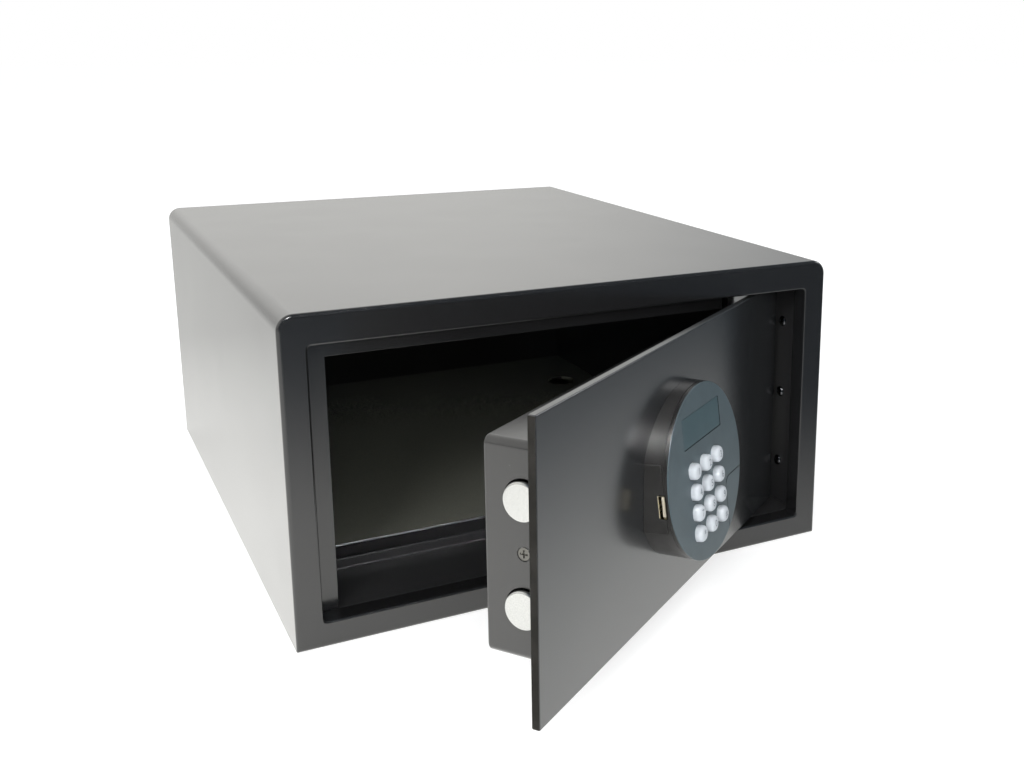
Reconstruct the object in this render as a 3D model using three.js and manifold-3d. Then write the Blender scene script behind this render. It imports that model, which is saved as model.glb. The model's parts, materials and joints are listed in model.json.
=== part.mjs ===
// Electronic room safe of laptop size, with its door ajar. Lengths are millimetres, +Z is up.
// Every piece is drawn with the door shut and the front face at y = 0. The door's group
// then turns on its pins, and the whole moves back so that the origin lies under its middle.

import * as THREE from "three";
import { mergeVertices } from "three/addons/utils/BufferGeometryUtils.js";
import Module from "manifold-3d";

const wasm = await Module();
wasm.setup();

// Fits and fineness
const gap = 0.3; // between pieces that touch
const running = 0.08; // round a shaft or bolt that moves in its hole
const overrun = 5; // how far a cutting tool passes the face it cuts
const weld = 0.0005; // vertices closer than this are one
const circleSteps = 14;
const cornerSteps = 2;
const screwSteps = 8;

// Body
const bodyWidth = 350;
const bodyHeight = 191;
const bodyDepth = 422;
const shellThick = 2;
const shellRadius = 9;
const sideRim = 15.35; // front rim left and right of the doorway
const bottomRim = 15.3;
const topRim = 18;
const doorwayRadius = 2;
const returnThick = 2;
const returnDepth = 13;
const stopThick = 1.5;
const stopDrop = 11.65; // how far the stop strip stands into the doorway at the side
const topStopDrop = 10;
const stopShort = 19.2; // how far left of the pivot the top strip ends
const sillThick = 1.5;
const sillDepth = 62;
const upstandTop = 22;
const floorFront = 80;
const floorTop = 23;
const floorThick = 2;
const anchorInset = 35; // from the side walls
const anchorFront = 120;
const anchorRear = 82; // from the back of the body
const anchorRadius = 5;
const anchorAccessRadius = 12;
const wallAnchorInset = 75; // from the side walls
const wallAnchorDrop = 61; // from the top of the body
const keeperReach = 5.15; // how far the plate that the bolts enter stands into the doorway
const keeperThick = 1.5;
const keeperBack = 50;
const keeperMargin = 6;
const keeperHoleRadius = 11;
const postStep = 5.35; // from the doorway's side to the inner face of the hinge post
const postThick = 1.5;
const postDepth = 78;
const postScrewY = 31;
const postScrewPitch = 50;
const postHeadRadius = 3.5;
const postHeadHeight = 1.8;
const postShankRadius = 2;
const postShankLength = 6;

// Door
const doorOpen = THREE.MathUtils.degToRad(35.7);
const pivotInset = 36.45; // from the doorway's right side
const pivotY = 21.6;
const plateFront = 8; // the shut door lies this far behind the rim
const plateThick = 4.5;
const slitLeft = 1.55; // round the shut door
const slitRight = 2.05;
const slitBelow = 1.7;
const slitAbove = 1.6;
const plateEdge = 0.6;
const pinRadius = 4;
const pinLength = 19;
const bushWall = 1.6;
const bushCollar = 8;
const bushCollarThick = 1;
const headerReach = 17.2; // how far left of the pivot the header starts
const headerDepth = 60;
const lugRadius = 8;
const lugHeight = 13;
const lugLeft = 11;

// Bolt box and what it holds
const boxInset = 18.1; // from the plate's free edge
const boxShort = 48.2; // how far left of the pivot the box ends
const boxBelow = 55; // the middle line to the box's lower side
const boxAbove = 56;
const boxBack = 48;
const boxSheet = 1.5;
const boxRadius = 3;
const middleRise = 0.3; // of the line midway between the bolts, over the plate's middle
const boltRadius = 10;
const boltDrop = 27.5; // each bolt's distance from the middle line
const boltY = 26;
const boltLength = 45;
const boltShow = 3; // how far a drawn-back bolt stands out of the box
const boltChamfer = 0.8;
const boltHoleRadius = 10.8;
const guideReach = 23.4; // from the box's left end to the right side of the guide
const guideThick = 15.4;
const guideMargin = 4;
const carriageThick = 7.5;
const carriageDepth = 12;
const carriageMargin = 7;
const armDepth = 8;
const armDrop = 8.5; // the middle line to the arm's lower side
const armBeyond = 22; // how far the arm passes the pinion's axis
const armGuideShort = 36; // from the pinion's axis to the guide's left side
const armGuideWidth = 10;
const armGuideMargin = 4;
const toothModule = 1;
const pinionTeeth = 14;
const pinionShift = 0.2; // profile shift, which keeps so few teeth from undercut
const pressureAngle = THREE.MathUtils.degToRad(20);
const rootClearance = 0.25;
const backlash = 0.12;
const rackTeeth = 10;
const leftTeeth = 3; // of the pinion's axis
const rackRise = 2; // from the middle line to the rack's pitch line
const pinionReach = 91; // from the box's left end to the pinion's axis
const flankSteps = 4;
const shaftRadius = 2;
const gearboxWidth = 28;
const gearboxFront = 30;
const gearboxDrop = 4.5; // the middle line to the gearbox's lower side
const gearboxHeight = 28;
const motorRadius = 7.7;
const motorLength = 27;
const motorY = 38.3;
const motorRise = 5.5;
const fixThick = 5.4; // lug that holds the box's end
const fixHeight = 14;
const fixDepth = 18;
const fixHeadRadius = 3.45;
const fixHeadHeight = 1.3;
const fixShankRadius = 1.9;
const fixShankLength = 5;
const fixY = 26.2;
const crossWidth = 0.9; // cross slot of a screw
const crossDepth = 0.7;

// Emergency lock
const lockX = 34;
const lockDrop = 24; // below the middle line
const lockFront = -6.2;
const lockBack = 30;
const lockRadius = 7;
const plugRadius = 4.5;
const slotHeight = 6;
const slotWidth = 1.3;
const slotDepth = 4;
const camThick = 2;
const camWidth = 8;
const camReach = 16;

// Batteries
const cellRadius = 7.1;
const cellLength = 48.5;
const cellTipRadius = 2.7;
const cellTipLength = 1.3;
const trayReach = 63; // from the box's right end to the tray's left side
const trayWall = 1.4;
const trayRise = 16; // from the middle line to the tray's lower side
const coverThick = 1.5;
const coverLap = 3.5;
const coverTongue = 8; // extra at the bottom, where the screw goes
const coverHeadRadius = 3;
const coverHeadHeight = 1.4;
const coverShankRadius = 1.4;
const coverShankLength = 5;

// Keypad, drawn on its own face: x to the right, y up the face, z out of it
const faceTilt = THREE.MathUtils.degToRad(7.1);
const faceRise = 15.6; // from the door plate to the middle of the face
const faceHalfWidth = 52;
const faceHalfHeight = 50.1;
const faceThick = 2.6;
const faceEdge = 0.5;
const housingWall = 2;
const housingFlat = -47.8; // flat on the left for the socket
const keyWidth = 9.6;
const keyHeight = 9.2;
const keyRadius = 4.1;
const keyRise = 4.2;
const keyEdge = 1.4;
const keyTravel = 1;
const keyColumn = 15.7;
const keyRow = 12;
const keyLeft = -17.6;
const keyFirstRow = 5.5;
const boardThick = 1.4;
const boardClearance = 1.5;
const boardLeft = -37.5;
const boardRight = 25;
const boardBottom = -42;
const boardTop = 37;
const studRadius = 2; // studs between the face and the board
const studInset = 3;
const windowLeft = -25;
const windowRight = 26;
const windowBottom = 19.2;
const windowTop = 36.3;
const windowThick = 1.2;
const windowSink = 0.15;
const coverFromX = 26;
const coverFromY = -13.3;
const coverCorner = 6;
const pegRadius = 1.6;
const pegLength = 3.5;
const pegX = 44.3;
const pegY = -17;
const socketHeight = 13.1;
const socketWidth = 4.5;
const socketDepth = 10;
const socketWall = 0.4;
const socketDrop = 4.7; // below the middle of the face
const socketUnder = 0.5; // under the face
const tongueThick = 1.6;
const cableHoleRadius = 8;
const cableHoleX = -12;

// Lengths that follow from the ones above
const doorwayHalf = bodyWidth / 2 - sideRim;
const doorwayTop = bodyHeight - topRim;
const innerHalf = bodyWidth / 2 - shellThick - gap;
const innerTop = bodyHeight - shellThick - gap;
const keeperFace = keeperReach - doorwayHalf;
const postFace = doorwayHalf + postStep;
const pivotX = doorwayHalf - pivotInset;
const plateLeft = slitLeft - doorwayHalf;
const plateRight = doorwayHalf - slitRight;
const plateBottom = bottomRim + slitBelow;
const plateTop = doorwayTop - slitAbove;
const boxLeft = plateLeft + boxInset;
const boxRight = pivotX - boxShort;
const boxMiddle = (plateBottom + plateTop) / 2 + middleRise;
const boxBottom = boxMiddle - boxBelow;
const boxTop = boxMiddle + boxAbove;
const plateBack = plateFront + plateThick;
const seat = plateBack + gap; // where pieces sit on the back of the plate
const boltLevels = [boxMiddle - boltDrop, boxMiddle + boltDrop];
const boltFront = boxLeft - boltShow;
const boltRear = boltFront + boltLength;
const guideRight = boxLeft + guideReach;
const armBottom = boxMiddle - armDrop;
const rackLine = boxMiddle + rackRise;
const pinionX = boxLeft + pinionReach;
const pitch = Math.PI * toothModule;
const pitchRadius = (toothModule * pinionTeeth) / 2;
const pinionZ = rackLine + pitchRadius + toothModule * pinionShift;
const fixZ = (boxBottom + boxTop) / 2;
const trayLeft = boxRight - trayReach;
const trayBottom = boxMiddle + trayRise;
const faceY = plateFront - faceRise;
const keyBase = -faceThick - gap;
const boardFace = keyBase - keyTravel - gap;

const paint = finish(0x17181a, 0.45, 0.3);
const innerPaint = finish(0x101113, 0.6, 0.2);
const chrome = finish(0xd9dcdf, 0.18, 1);
const steel = finish(0x9a9ea3, 0.35, 1);
const brass = finish(0xb59a55, 0.3, 1);
const faceFilm = finish(0x4a555c, 0.35, 0);
const darkPlastic = finish(0x222427, 0.5, 0);
const keyRubber = finish(0xe3e7e8, 0.4, 0);
const floorFinish = finish(0x2a2b22, 0.35, 0);
const board = finish(0x1f4a33, 0.5, 0);
const lens = finish(0x2e383d, 0.1, 0);
const cellJacket = finish(0x3c3f44, 0.4, 0.4);

function finish(color, roughness, metalness) {
  return new THREE.MeshStandardMaterial({ color, roughness, metalness });
}

// Solids and booleans

function solidOf(geometry) {
  const bare = geometry.clone();
  bare.deleteAttribute("normal");
  bare.deleteAttribute("uv");
  const merged = mergeVertices(bare, weld);
  const mesh = new wasm.Mesh({
    numProp: 3,
    vertProperties: merged.attributes.position.array,
    triVerts: merged.index.array,
  });
  return new wasm.Manifold(mesh);
}

function geometryOf(solid) {
  const mesh = solid.getMesh();
  const geometry = new THREE.BufferGeometry();
  geometry.setAttribute("position", new THREE.BufferAttribute(mesh.vertProperties, 3));
  geometry.setIndex(new THREE.BufferAttribute(mesh.triVerts, 1));
  const flat = geometry.toNonIndexed();
  flat.computeVertexNormals();
  return flat;
}

function join(...parts) {
  return geometryOf(parts.map(solidOf).reduce((sum, part) => sum.add(part)));
}

function cut(body, ...tools) {
  return geometryOf(tools.map(solidOf).reduce((rest, tool) => rest.subtract(tool), solidOf(body)));
}

function common(first, second) {
  return geometryOf(solidOf(first).intersect(solidOf(second)));
}

// Plain shapes

function slab(low, high) {
  const size = high.map((value, axis) => value - low[axis]);
  const box = new THREE.BoxGeometry(...size);
  return box.translate(...low.map((value, axis) => value + size[axis] / 2));
}

function outline(...points) {
  return new THREE.Shape(points.map(([x, y]) => new THREE.Vector2(x, y)));
}

function disc(x, y, radiusX, radiusY = radiusX) {
  return new THREE.Shape().absellipse(x, y, radiusX, radiusY, 0, 2 * Math.PI);
}

function roundedBox(left, bottom, right, top, radius) {
  const shape = new THREE.Shape();
  shape.absarc(right - radius, top - radius, radius, 0, Math.PI / 2);
  shape.absarc(left + radius, top - radius, radius, Math.PI / 2, Math.PI);
  shape.absarc(left + radius, bottom + radius, radius, Math.PI, 1.5 * Math.PI);
  shape.absarc(right - radius, bottom + radius, radius, 1.5 * Math.PI, 2 * Math.PI);
  return shape;
}

// An outline in x and y made solid between two heights, with an optional bevel on both rims.
function prismZ(shape, low, high, steps = circleSteps, bevel = 0) {
  const solid = new THREE.ExtrudeGeometry(shape, {
    depth: high - low - 2 * bevel,
    curveSegments: steps,
    bevelEnabled: bevel > 0,
    bevelThickness: bevel,
    bevelSize: bevel,
    bevelOffset: -bevel,
    bevelSegments: 1,
  });
  return solid.translate(0, 0, low + bevel);
}

// An outline in x and z made solid between two values of y.
function prismY(shape, low, high, steps = circleSteps, bevel = 0) {
  return prismZ(shape, -high, -low, steps, bevel).rotateX(Math.PI / 2);
}

// An outline in y and z made solid between two values of x.
function prismX(shape, low, high, steps = circleSteps, bevel = 0) {
  const turn = new THREE.Matrix4().makeBasis(
    new THREE.Vector3(0, 1, 0),
    new THREE.Vector3(0, 0, 1),
    new THREE.Vector3(1, 0, 0),
  );
  return prismZ(shape, low, high, steps, bevel).applyMatrix4(turn);
}

function place(group, name, geometry, material) {
  const mesh = new THREE.Mesh(geometry, material);
  mesh.name = name;
  group.add(mesh);
  return mesh;
}

// Body

function shellOutline(thick) {
  const half = bodyWidth / 2 - thick;
  const top = bodyHeight - thick;
  const radius = shellRadius - thick;
  const shape = new THREE.Shape();
  shape.moveTo(half, 0);
  shape.lineTo(half, top - radius);
  shape.absarc(half - radius, top - radius, radius, 0, Math.PI / 2);
  shape.absarc(radius - half, top - radius, radius, Math.PI / 2, Math.PI);
  shape.lineTo(-half, 0);
  return shape;
}

function bodyShell() {
  const low = shellThick + gap;
  const high = bodyDepth - shellThick - gap;
  const wall = shellOutline(0);
  const inner = shellOutline(shellThick).getPoints(cornerSteps * 2);
  const points = [...wall.getPoints(cornerSteps * 2), ...inner.reverse()];
  return prismY(new THREE.Shape(points), low, high);
}

// The rim and the three walls folded back from the doorway's edge are one piece.
function frontFrame() {
  const doorway = roundedBox(-doorwayHalf, bottomRim, doorwayHalf, doorwayTop, doorwayRadius);
  const outer = roundedBox(
    -doorwayHalf - returnThick,
    bottomRim - overrun,
    doorwayHalf + returnThick,
    doorwayTop + returnThick,
    doorwayRadius + returnThick,
  );
  const rim = prismY(shellOutline(0), 0, shellThick, cornerSteps * 2);
  const walls = prismY(outer, shellThick / 2, returnDepth, cornerSteps);
  const through = prismY(doorway, -overrun, returnDepth + overrun, cornerSteps);
  const below = slab(
    [-bodyWidth, shellThick, 0],
    [bodyWidth, returnDepth + overrun, bottomRim + gap],
  );
  const hingeSide = slab(
    [pivotX, returnDepth - shellThick / 2, 0],
    [bodyWidth, returnDepth + overrun, doorwayTop - doorwayRadius],
  );
  return cut(join(rim, cut(walls, below, hingeSide)), through);
}

function doorStop() {
  const left = -doorwayHalf - returnThick;
  const top = doorwayTop + returnThick;
  const inner = stopDrop - doorwayHalf;
  const lower = doorwayTop - topStopDrop;
  const end = pivotX - stopShort;
  const strip = outline(
    [left, bottomRim + gap],
    [inner, bottomRim + gap],
    [inner, lower],
    [end, lower],
    [end, top],
    [left, top],
  );
  const front = returnDepth + gap;
  return prismY(strip, front, front + stopThick);
}

function sill() {
  const front = shellThick + gap;
  const under = bottomRim - sillThick;
  const floor = shellThick + gap;
  const profile = outline(
    [front, under],
    [sillDepth, under],
    [sillDepth, floor],
    [sillDepth + sillThick, floor],
    [sillDepth + sillThick, upstandTop],
    [sillDepth, upstandTop],
    [sillDepth, bottomRim],
    [front, bottomRim],
  );
  const bar = prismX(profile, -innerHalf, innerHalf);
  const room = slab(
    [postFace - gap, 0, bottomRim + gap / 2],
    [bodyWidth, postDepth, upstandTop + overrun],
  );
  return cut(bar, room, bushHole(under - overrun, bottomRim + overrun));
}

function hingeHeader() {
  const front = returnDepth + gap;
  const profile = outline(
    [front, doorwayTop],
    [headerDepth, doorwayTop],
    [headerDepth, innerTop],
    [headerDepth - returnThick, innerTop],
    [headerDepth - returnThick, doorwayTop + returnThick],
    [front, doorwayTop + returnThick],
  );
  const bracket = prismX(profile, pivotX - headerReach, postFace - gap);
  return cut(bracket, bushHole(doorwayTop - overrun, doorwayTop + returnThick + overrun));
}

function bushHole(low, high) {
  return prismZ(disc(pivotX, pivotY, pinRadius + running + bushWall + gap), low, high);
}

// A collared bush. Its collar lies between the fixed plate and the door, its sleeve in the plate.
function bush(collarLow, sleeveLow, sleeveHigh) {
  const collar = prismZ(disc(pivotX, pivotY, bushCollar), collarLow, collarLow + bushCollarThick);
  const sleeve = prismZ(disc(pivotX, pivotY, pinRadius + running + bushWall), sleeveLow, sleeveHigh);
  const bore = prismZ(disc(pivotX, pivotY, pinRadius + running), sleeveLow - overrun, sleeveHigh + overrun);
  return cut(join(collar, sleeve), bore);
}

function hingePost() {
  const front = shellThick + gap;
  const outer = postFace + postThick;
  const profile = outline(
    [postFace, front],
    [outer, front],
    [outer, postDepth - postThick],
    [innerHalf, postDepth - postThick],
    [innerHalf, postDepth],
    [postFace, postDepth],
  );
  const wall = prismZ(profile, bottomRim + gap, bodyHeight - shellRadius);
  const holes = postScrewLevels().map((z) =>
    prismX(disc(postScrewY, z, postShankRadius + gap), postFace - overrun, outer + overrun),
  );
  return cut(wall, ...holes);
}

function postScrewLevels() {
  return [-postScrewPitch, 0, postScrewPitch].map((step) => boxMiddle + step);
}

// A pan screw that points along +X. Its head's top lies at the given x.
function screwX(x, y, z, headRadius, headHeight, shankRadius, shankLength) {
  const head = prismX(disc(y, z, headRadius), x, x + headHeight, screwSteps);
  const shankStart = x + headHeight / 2;
  const shankEnd = x + headHeight + shankLength;
  const shank = prismX(disc(y, z, shankRadius), shankStart, shankEnd, screwSteps);
  const arm = headRadius / Math.SQRT2;
  const across = slab(
    [x - overrun, y - arm, z - crossWidth / 2],
    [x + crossDepth, y + arm, z + crossWidth / 2],
  );
  const upright = slab(
    [x - overrun, y - crossWidth / 2, z - arm],
    [x + crossDepth, y + crossWidth / 2, z + arm],
  );
  return cut(join(head, shank), across, upright);
}

function floorTray() {
  const low = [-innerHalf, floorFront, shellThick + gap];
  const high = [innerHalf, bodyDepth - shellThick - gap, floorTop];
  const under = slab(
    [low[0] + floorThick, low[1] + floorThick, low[2] - overrun],
    [high[0] - floorThick, high[1] - floorThick, floorTop - floorThick],
  );
  return cut(slab(low, high), under, ...anchorHoles(anchorAccessRadius, floorTop + overrun));
}

function anchorHoles(radius, high) {
  const half = bodyWidth / 2 - anchorInset;
  const rows = [anchorFront, bodyDepth - anchorRear];
  const spots = rows.flatMap((y) => [-half, half].map((x) => [x, y]));
  return spots.map(([x, y]) => prismZ(disc(x, y, radius), -overrun, high));
}

function basePlate() {
  const front = shellThick + gap;
  const plate = slab([-innerHalf, front, 0], [innerHalf, bodyDepth - front, shellThick]);
  return cut(plate, ...anchorHoles(anchorRadius, shellThick + overrun));
}

function backPanel() {
  const front = bodyDepth - shellThick;
  const panel = prismY(shellOutline(0), front, bodyDepth, cornerSteps * 2);
  const half = bodyWidth / 2 - wallAnchorInset;
  const z = bodyHeight - wallAnchorDrop;
  const holes = [-half, half].map((x) =>
    prismY(disc(x, z, anchorRadius), front - overrun, bodyDepth + overrun),
  );
  return cut(panel, ...holes);
}

// The plate whose holes the thrown bolts enter, with a leg to the side wall.
function boltKeeper() {
  const front = returnDepth + stopThick + 2 * gap;
  const profile = outline(
    [keeperFace - keeperThick, front],
    [keeperFace, front],
    [keeperFace, keeperBack],
    [-innerHalf, keeperBack],
    [-innerHalf, keeperBack - keeperThick],
    [keeperFace - keeperThick, keeperBack - keeperThick],
  );
  const reach = boltDrop + keeperHoleRadius + keeperMargin;
  const web = prismZ(profile, boxMiddle - reach, boxMiddle + reach);
  const holes = boltLevels.map((z) =>
    prismX(disc(boltY + gap, z, keeperHoleRadius), keeperFace - overrun, keeperFace + overrun),
  );
  return cut(web, ...holes);
}

// Door

function doorPlate() {
  const sheet = roundedBox(plateLeft, plateBottom, plateRight, plateTop, plateEdge);
  const plate = prismY(sheet, plateFront, plateBack, 1, plateEdge);
  const low = plateFront - overrun;
  const high = plateBack + overrun;
  const lockHole = prismY(disc(lockX, boxMiddle - lockDrop, lockRadius + gap), low, high);
  const cableHole = prismY(disc(cableHoleX, boxMiddle, cableHoleRadius), low, high);
  return cut(plate, lockHole, cableHole);
}

// A lug behind the plate that carries one hinge pin.
function hingeBracket(low) {
  const high = low + lugHeight;
  const foot = slab([pivotX - lugLeft, seat, low], [pivotX + lugLeft, pivotY, high]);
  const eye = prismZ(disc(pivotX, pivotY, lugRadius), low, high);
  const bore = prismZ(disc(pivotX, pivotY, pinRadius + gap), low - overrun, high + overrun);
  const front = slab([pivotX - lugLeft, -overrun, low - overrun], [pivotX + lugLeft, seat, high + overrun]);
  return cut(join(foot, eye), bore, front);
}

function hingePin(low) {
  return prismZ(disc(pivotX, pivotY, pinRadius), low, low + pinLength);
}

function boltBox() {
  const outer = roundedBox(boxLeft, boxBottom, boxRight, boxTop, boxRadius);
  const inner = roundedBox(
    boxLeft + boxSheet,
    boxBottom + boxSheet,
    boxRight - boxSheet,
    boxTop - boxSheet,
    boxRadius - boxSheet,
  );
  const body = prismY(outer, seat, boxBack, cornerSteps);
  const hollow = prismY(inner, seat - overrun, boxBack - boxSheet, cornerSteps);
  const boltHoles = boltLevels.map((z) =>
    prismX(disc(boltY, z, boltHoleRadius), boxLeft - overrun, boxLeft + overrun),
  );
  const fixHoles = [boxLeft, boxRight].map((x) =>
    prismX(disc(fixY, fixZ, fixHeadRadius + gap), x - overrun, x + overrun),
  );
  const window = slab(
    [trayLeft + trayWall, seat + boxSheet, trayBottom + trayWall],
    [trayRight() - trayWall, boxBack + overrun, trayTop() - trayWall],
  );
  const screwHole = prismY(
    disc(coverScrewX(), coverScrewZ(), coverShankRadius + gap),
    boxBack - overrun,
    boxBack + overrun,
  );
  return cut(body, hollow, window, screwHole, ...boltHoles, ...fixHoles);
}

// A block inside the end of the box, tapped for the screw through the box.
function boxLug(left) {
  const low = fixZ - fixHeight / 2;
  const block = slab([left, seat, low], [left + fixThick, seat + fixDepth, low + fixHeight]);
  const hole = prismX(disc(fixY, fixZ, fixShankRadius + gap), left - overrun, left + fixThick + overrun);
  return cut(block, hole);
}

function boxScrew(x) {
  return screwX(x, fixY, fixZ, fixHeadRadius, fixHeadHeight, fixShankRadius, fixShankLength);
}

function bolt(z) {
  return prismX(disc(boltY, z, boltRadius), boltFront, boltRear, circleSteps + cornerSteps, boltChamfer);
}

// Two bored blocks joined by a web that passes behind the lug of the box.
function boltGuide() {
  const left = guideRight - guideThick;
  const reach = boltRadius + guideMargin;
  const back = boltY + reach;
  const blocks = boltLevels.map((z) => slab([left, seat, z - reach], [guideRight, back, z + reach]));
  const web = slab([left, seat + fixDepth + gap, boltLevels[0]], [guideRight, back, boltLevels[1]]);
  const bores = boltLevels.map((z) =>
    prismX(
      disc(boltY, z, boltRadius + running),
      left - overrun,
      guideRight + overrun,
      circleSteps + cornerSteps,
    ),
  );
  return cut(join(...blocks, web), ...bores);
}

// The bar that ties the bolts together, with its arm and the rack on the arm.
function boltCarriage() {
  const left = boltRear + gap;
  const right = left + carriageThick;
  const reach = boltDrop + carriageMargin;
  const root = rackLine - toothModule - rootClearance;
  const bar = slab(
    [left, boltY - carriageDepth / 2, boxMiddle - reach],
    [right, boltY + carriageDepth / 2, boxMiddle + reach],
  );
  const arm = slab(
    [right - overrun, boltY - armDepth / 2, armBottom],
    [pinionX + armBeyond, boltY + armDepth / 2, root],
  );
  // A gap between two teeth lies straight under the pinion while the bolts are drawn back.
  const first = pinionX + pitch / 2 - leftTeeth * pitch;
  const teeth = Array.from({ length: rackTeeth }, (_, i) => rackTooth(first + i * pitch, root));
  return join(bar, arm, ...teeth);
}

function rackTooth(x, root) {
  const half = pitch / 4 - backlash / 2;
  const slope = Math.tan(pressureAngle);
  const top = rackLine + toothModule;
  const topHalf = half - toothModule * slope;
  const footHalf = half + (rackLine - root) * slope;
  const tooth = outline(
    [x - footHalf, root - rootClearance],
    [x + footHalf, root - rootClearance],
    [x + footHalf, root],
    [x + topHalf, top],
    [x - topHalf, top],
    [x - footHalf, root],
  );
  return prismY(tooth, boltY - armDepth / 2, boltY + armDepth / 2);
}

// The points of one pinion tooth, from root to root, about a centre line at the given angle.
function toothPoints(middle) {
  const base = pitchRadius * Math.cos(pressureAngle);
  const tip = pitchRadius + toothModule * (1 + pinionShift);
  const root = pitchRadius - toothModule * (1 - pinionShift) - rootClearance;
  const thick = toothModule * (Math.PI / 2 + 2 * pinionShift * Math.tan(pressureAngle)) - backlash;
  const halfAtBase = thick / 2 / pitchRadius + Math.tan(pressureAngle) - pressureAngle;
  const flank = Array.from({ length: flankSteps }, (_, i) => {
    const radius = base + ((tip - base) * i) / (flankSteps - 1);
    const roll = Math.sqrt((radius / base) ** 2 - 1);
    return [radius, halfAtBase - (roll - Math.atan(roll))];
  });
  const half = [[root, halfAtBase], ...flank];
  const rising = half.map(([radius, angle]) => [radius, middle - angle]);
  const falling = half.map(([radius, angle]) => [radius, middle + angle]).reverse();
  return [...rising, ...falling];
}

function drivePinion() {
  const pitchAngle = (2 * Math.PI) / pinionTeeth;
  const polar = Array.from({ length: pinionTeeth }, (_, i) =>
    toothPoints(-Math.PI / 2 + i * pitchAngle),
  ).flat();
  const points = polar.map(([radius, angle]) => [
    pinionX + radius * Math.cos(angle),
    pinionZ + radius * Math.sin(angle),
  ]);
  const half = armDepth / 2 - gap;
  const wheel = prismY(outline(...points), boltY - half, boltY + half);
  const shaft = prismY(disc(pinionX, pinionZ, shaftRadius), boltY, gearboxFront + armDepth);
  return join(wheel, shaft);
}

function armGuide() {
  const root = rackLine - toothModule - rootClearance;
  const half = armDepth / 2 + gap;
  const left = pinionX - armGuideShort;
  const right = left + armGuideWidth;
  const block = slab(
    [left, seat, armBottom - armGuideMargin],
    [right, boltY + half + armGuideMargin, root + armGuideMargin],
  );
  const tunnel = slab(
    [left - overrun, boltY - half, armBottom - gap],
    [right + overrun, boltY + half, root + gap],
  );
  return cut(block, tunnel);
}

function gearbox() {
  const left = pinionX - gearboxWidth / 2;
  const back = boxBack - boxSheet - gap;
  const low = boxMiddle - gearboxDrop;
  const body = slab([left, gearboxFront, low], [left + gearboxWidth, back, low + gearboxHeight]);
  const bore = prismY(
    disc(pinionX, pinionZ, shaftRadius + running),
    gearboxFront - overrun,
    gearboxFront + armDepth + gap,
  );
  return cut(body, bore);
}

function motor() {
  const left = pinionX + gearboxWidth / 2 + gap;
  const z = boxMiddle + motorRise;
  return prismX(disc(motorY, z, motorRadius), left, left + motorLength, circleSteps, boltChamfer);
}

// Emergency lock

function lockCylinder() {
  const z = boxMiddle - lockDrop;
  const barrel = prismY(disc(lockX, z, lockRadius), lockFront, lockBack);
  const bore = prismY(disc(lockX, z, plugRadius + running), lockFront - overrun, lockBack + overrun);
  return cut(barrel, bore);
}

// The plug and its cam, which hangs down until the key turns it.
function lockPlug() {
  const z = boxMiddle - lockDrop;
  const camFront = lockBack + gap;
  const plug = prismY(disc(lockX, z, plugRadius), lockFront + gap, camFront + camThick);
  const cam = slab(
    [lockX - camWidth / 2, camFront, z - camReach],
    [lockX + camWidth / 2, camFront + camThick, z + camWidth / 2],
  );
  const slot = slab(
    [lockX - slotWidth / 2, lockFront - overrun, z - slotHeight / 2],
    [lockX + slotWidth / 2, lockFront + slotDepth, z + slotHeight / 2],
  );
  return cut(join(plug, cam), slot);
}

// Batteries

function trayRight() {
  return trayLeft + 2 * trayWall + 4 * gap + cellLength + cellTipLength;
}

function trayTop() {
  return trayBottom + 2 * trayWall + 3 * gap + 4 * cellRadius;
}

function batteryTray() {
  const low = [trayLeft, seat, trayBottom];
  const back = boxBack - boxSheet - gap;
  const hollow = slab(
    [trayLeft + trayWall, seat + trayWall, trayBottom + trayWall],
    [trayRight() - trayWall, back + overrun, trayTop() - trayWall],
  );
  return cut(slab(low, [trayRight(), back, trayTop()]), hollow);
}

// One cell, with its tip to the right or to the left.
function battery(row, layer, tipRight) {
  const y = seat + trayWall + gap + cellRadius + layer * (2 * cellRadius + gap);
  const z = trayBottom + trayWall + gap + cellRadius + row * (2 * cellRadius + gap);
  const start = trayLeft + trayWall + 2 * gap;
  const bodyStart = tipRight ? start : start + cellTipLength;
  const tipStart = tipRight ? start + cellLength / 2 : start;
  const jacket = prismX(disc(y, z, cellRadius), bodyStart, bodyStart + cellLength);
  const tip = prismX(disc(y, z, cellTipRadius), tipStart, tipStart + cellLength / 2 + cellTipLength);
  return join(jacket, tip);
}

function coverScrewX() {
  return (trayLeft + trayRight()) / 2;
}

function coverScrewZ() {
  return trayBottom - coverTongue / 2;
}

function batteryCover() {
  const front = boxBack + gap;
  const lid = slab(
    [trayLeft - coverLap, front, trayBottom - coverTongue],
    [trayRight() + coverLap, front + coverThick, trayTop() + coverLap / 2],
  );
  const hole = prismY(
    disc(coverScrewX(), coverScrewZ(), coverShankRadius + gap),
    front - overrun,
    front + coverThick + overrun,
  );
  return cut(lid, hole);
}

function coverScrew() {
  const under = boxBack + gap + coverThick + gap;
  const top = under + coverHeadHeight;
  const x = coverScrewX();
  const z = coverScrewZ();
  const head = prismY(disc(x, z, coverHeadRadius), under, top, screwSteps);
  const shankEnd = under - coverShankLength;
  const shank = prismY(disc(x, z, coverShankRadius), shankEnd, under + gap, screwSteps);
  const arm = coverHeadRadius / Math.SQRT2;
  const slots = [
    [arm, crossWidth / 2],
    [crossWidth / 2, arm],
  ].map(([halfX, halfZ]) =>
    slab([x - halfX, top - crossDepth, z - halfZ], [x + halfX, top + overrun, z + halfZ]),
  );
  return cut(join(head, shank), ...slots);
}

// Keypad

// Turns a shape drawn on the face into the shut door's frame.
function ontoDoor(geometry) {
  return geometry.rotateX(Math.PI / 2 - faceTilt).translate(0, faceY, boxMiddle);
}

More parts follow.
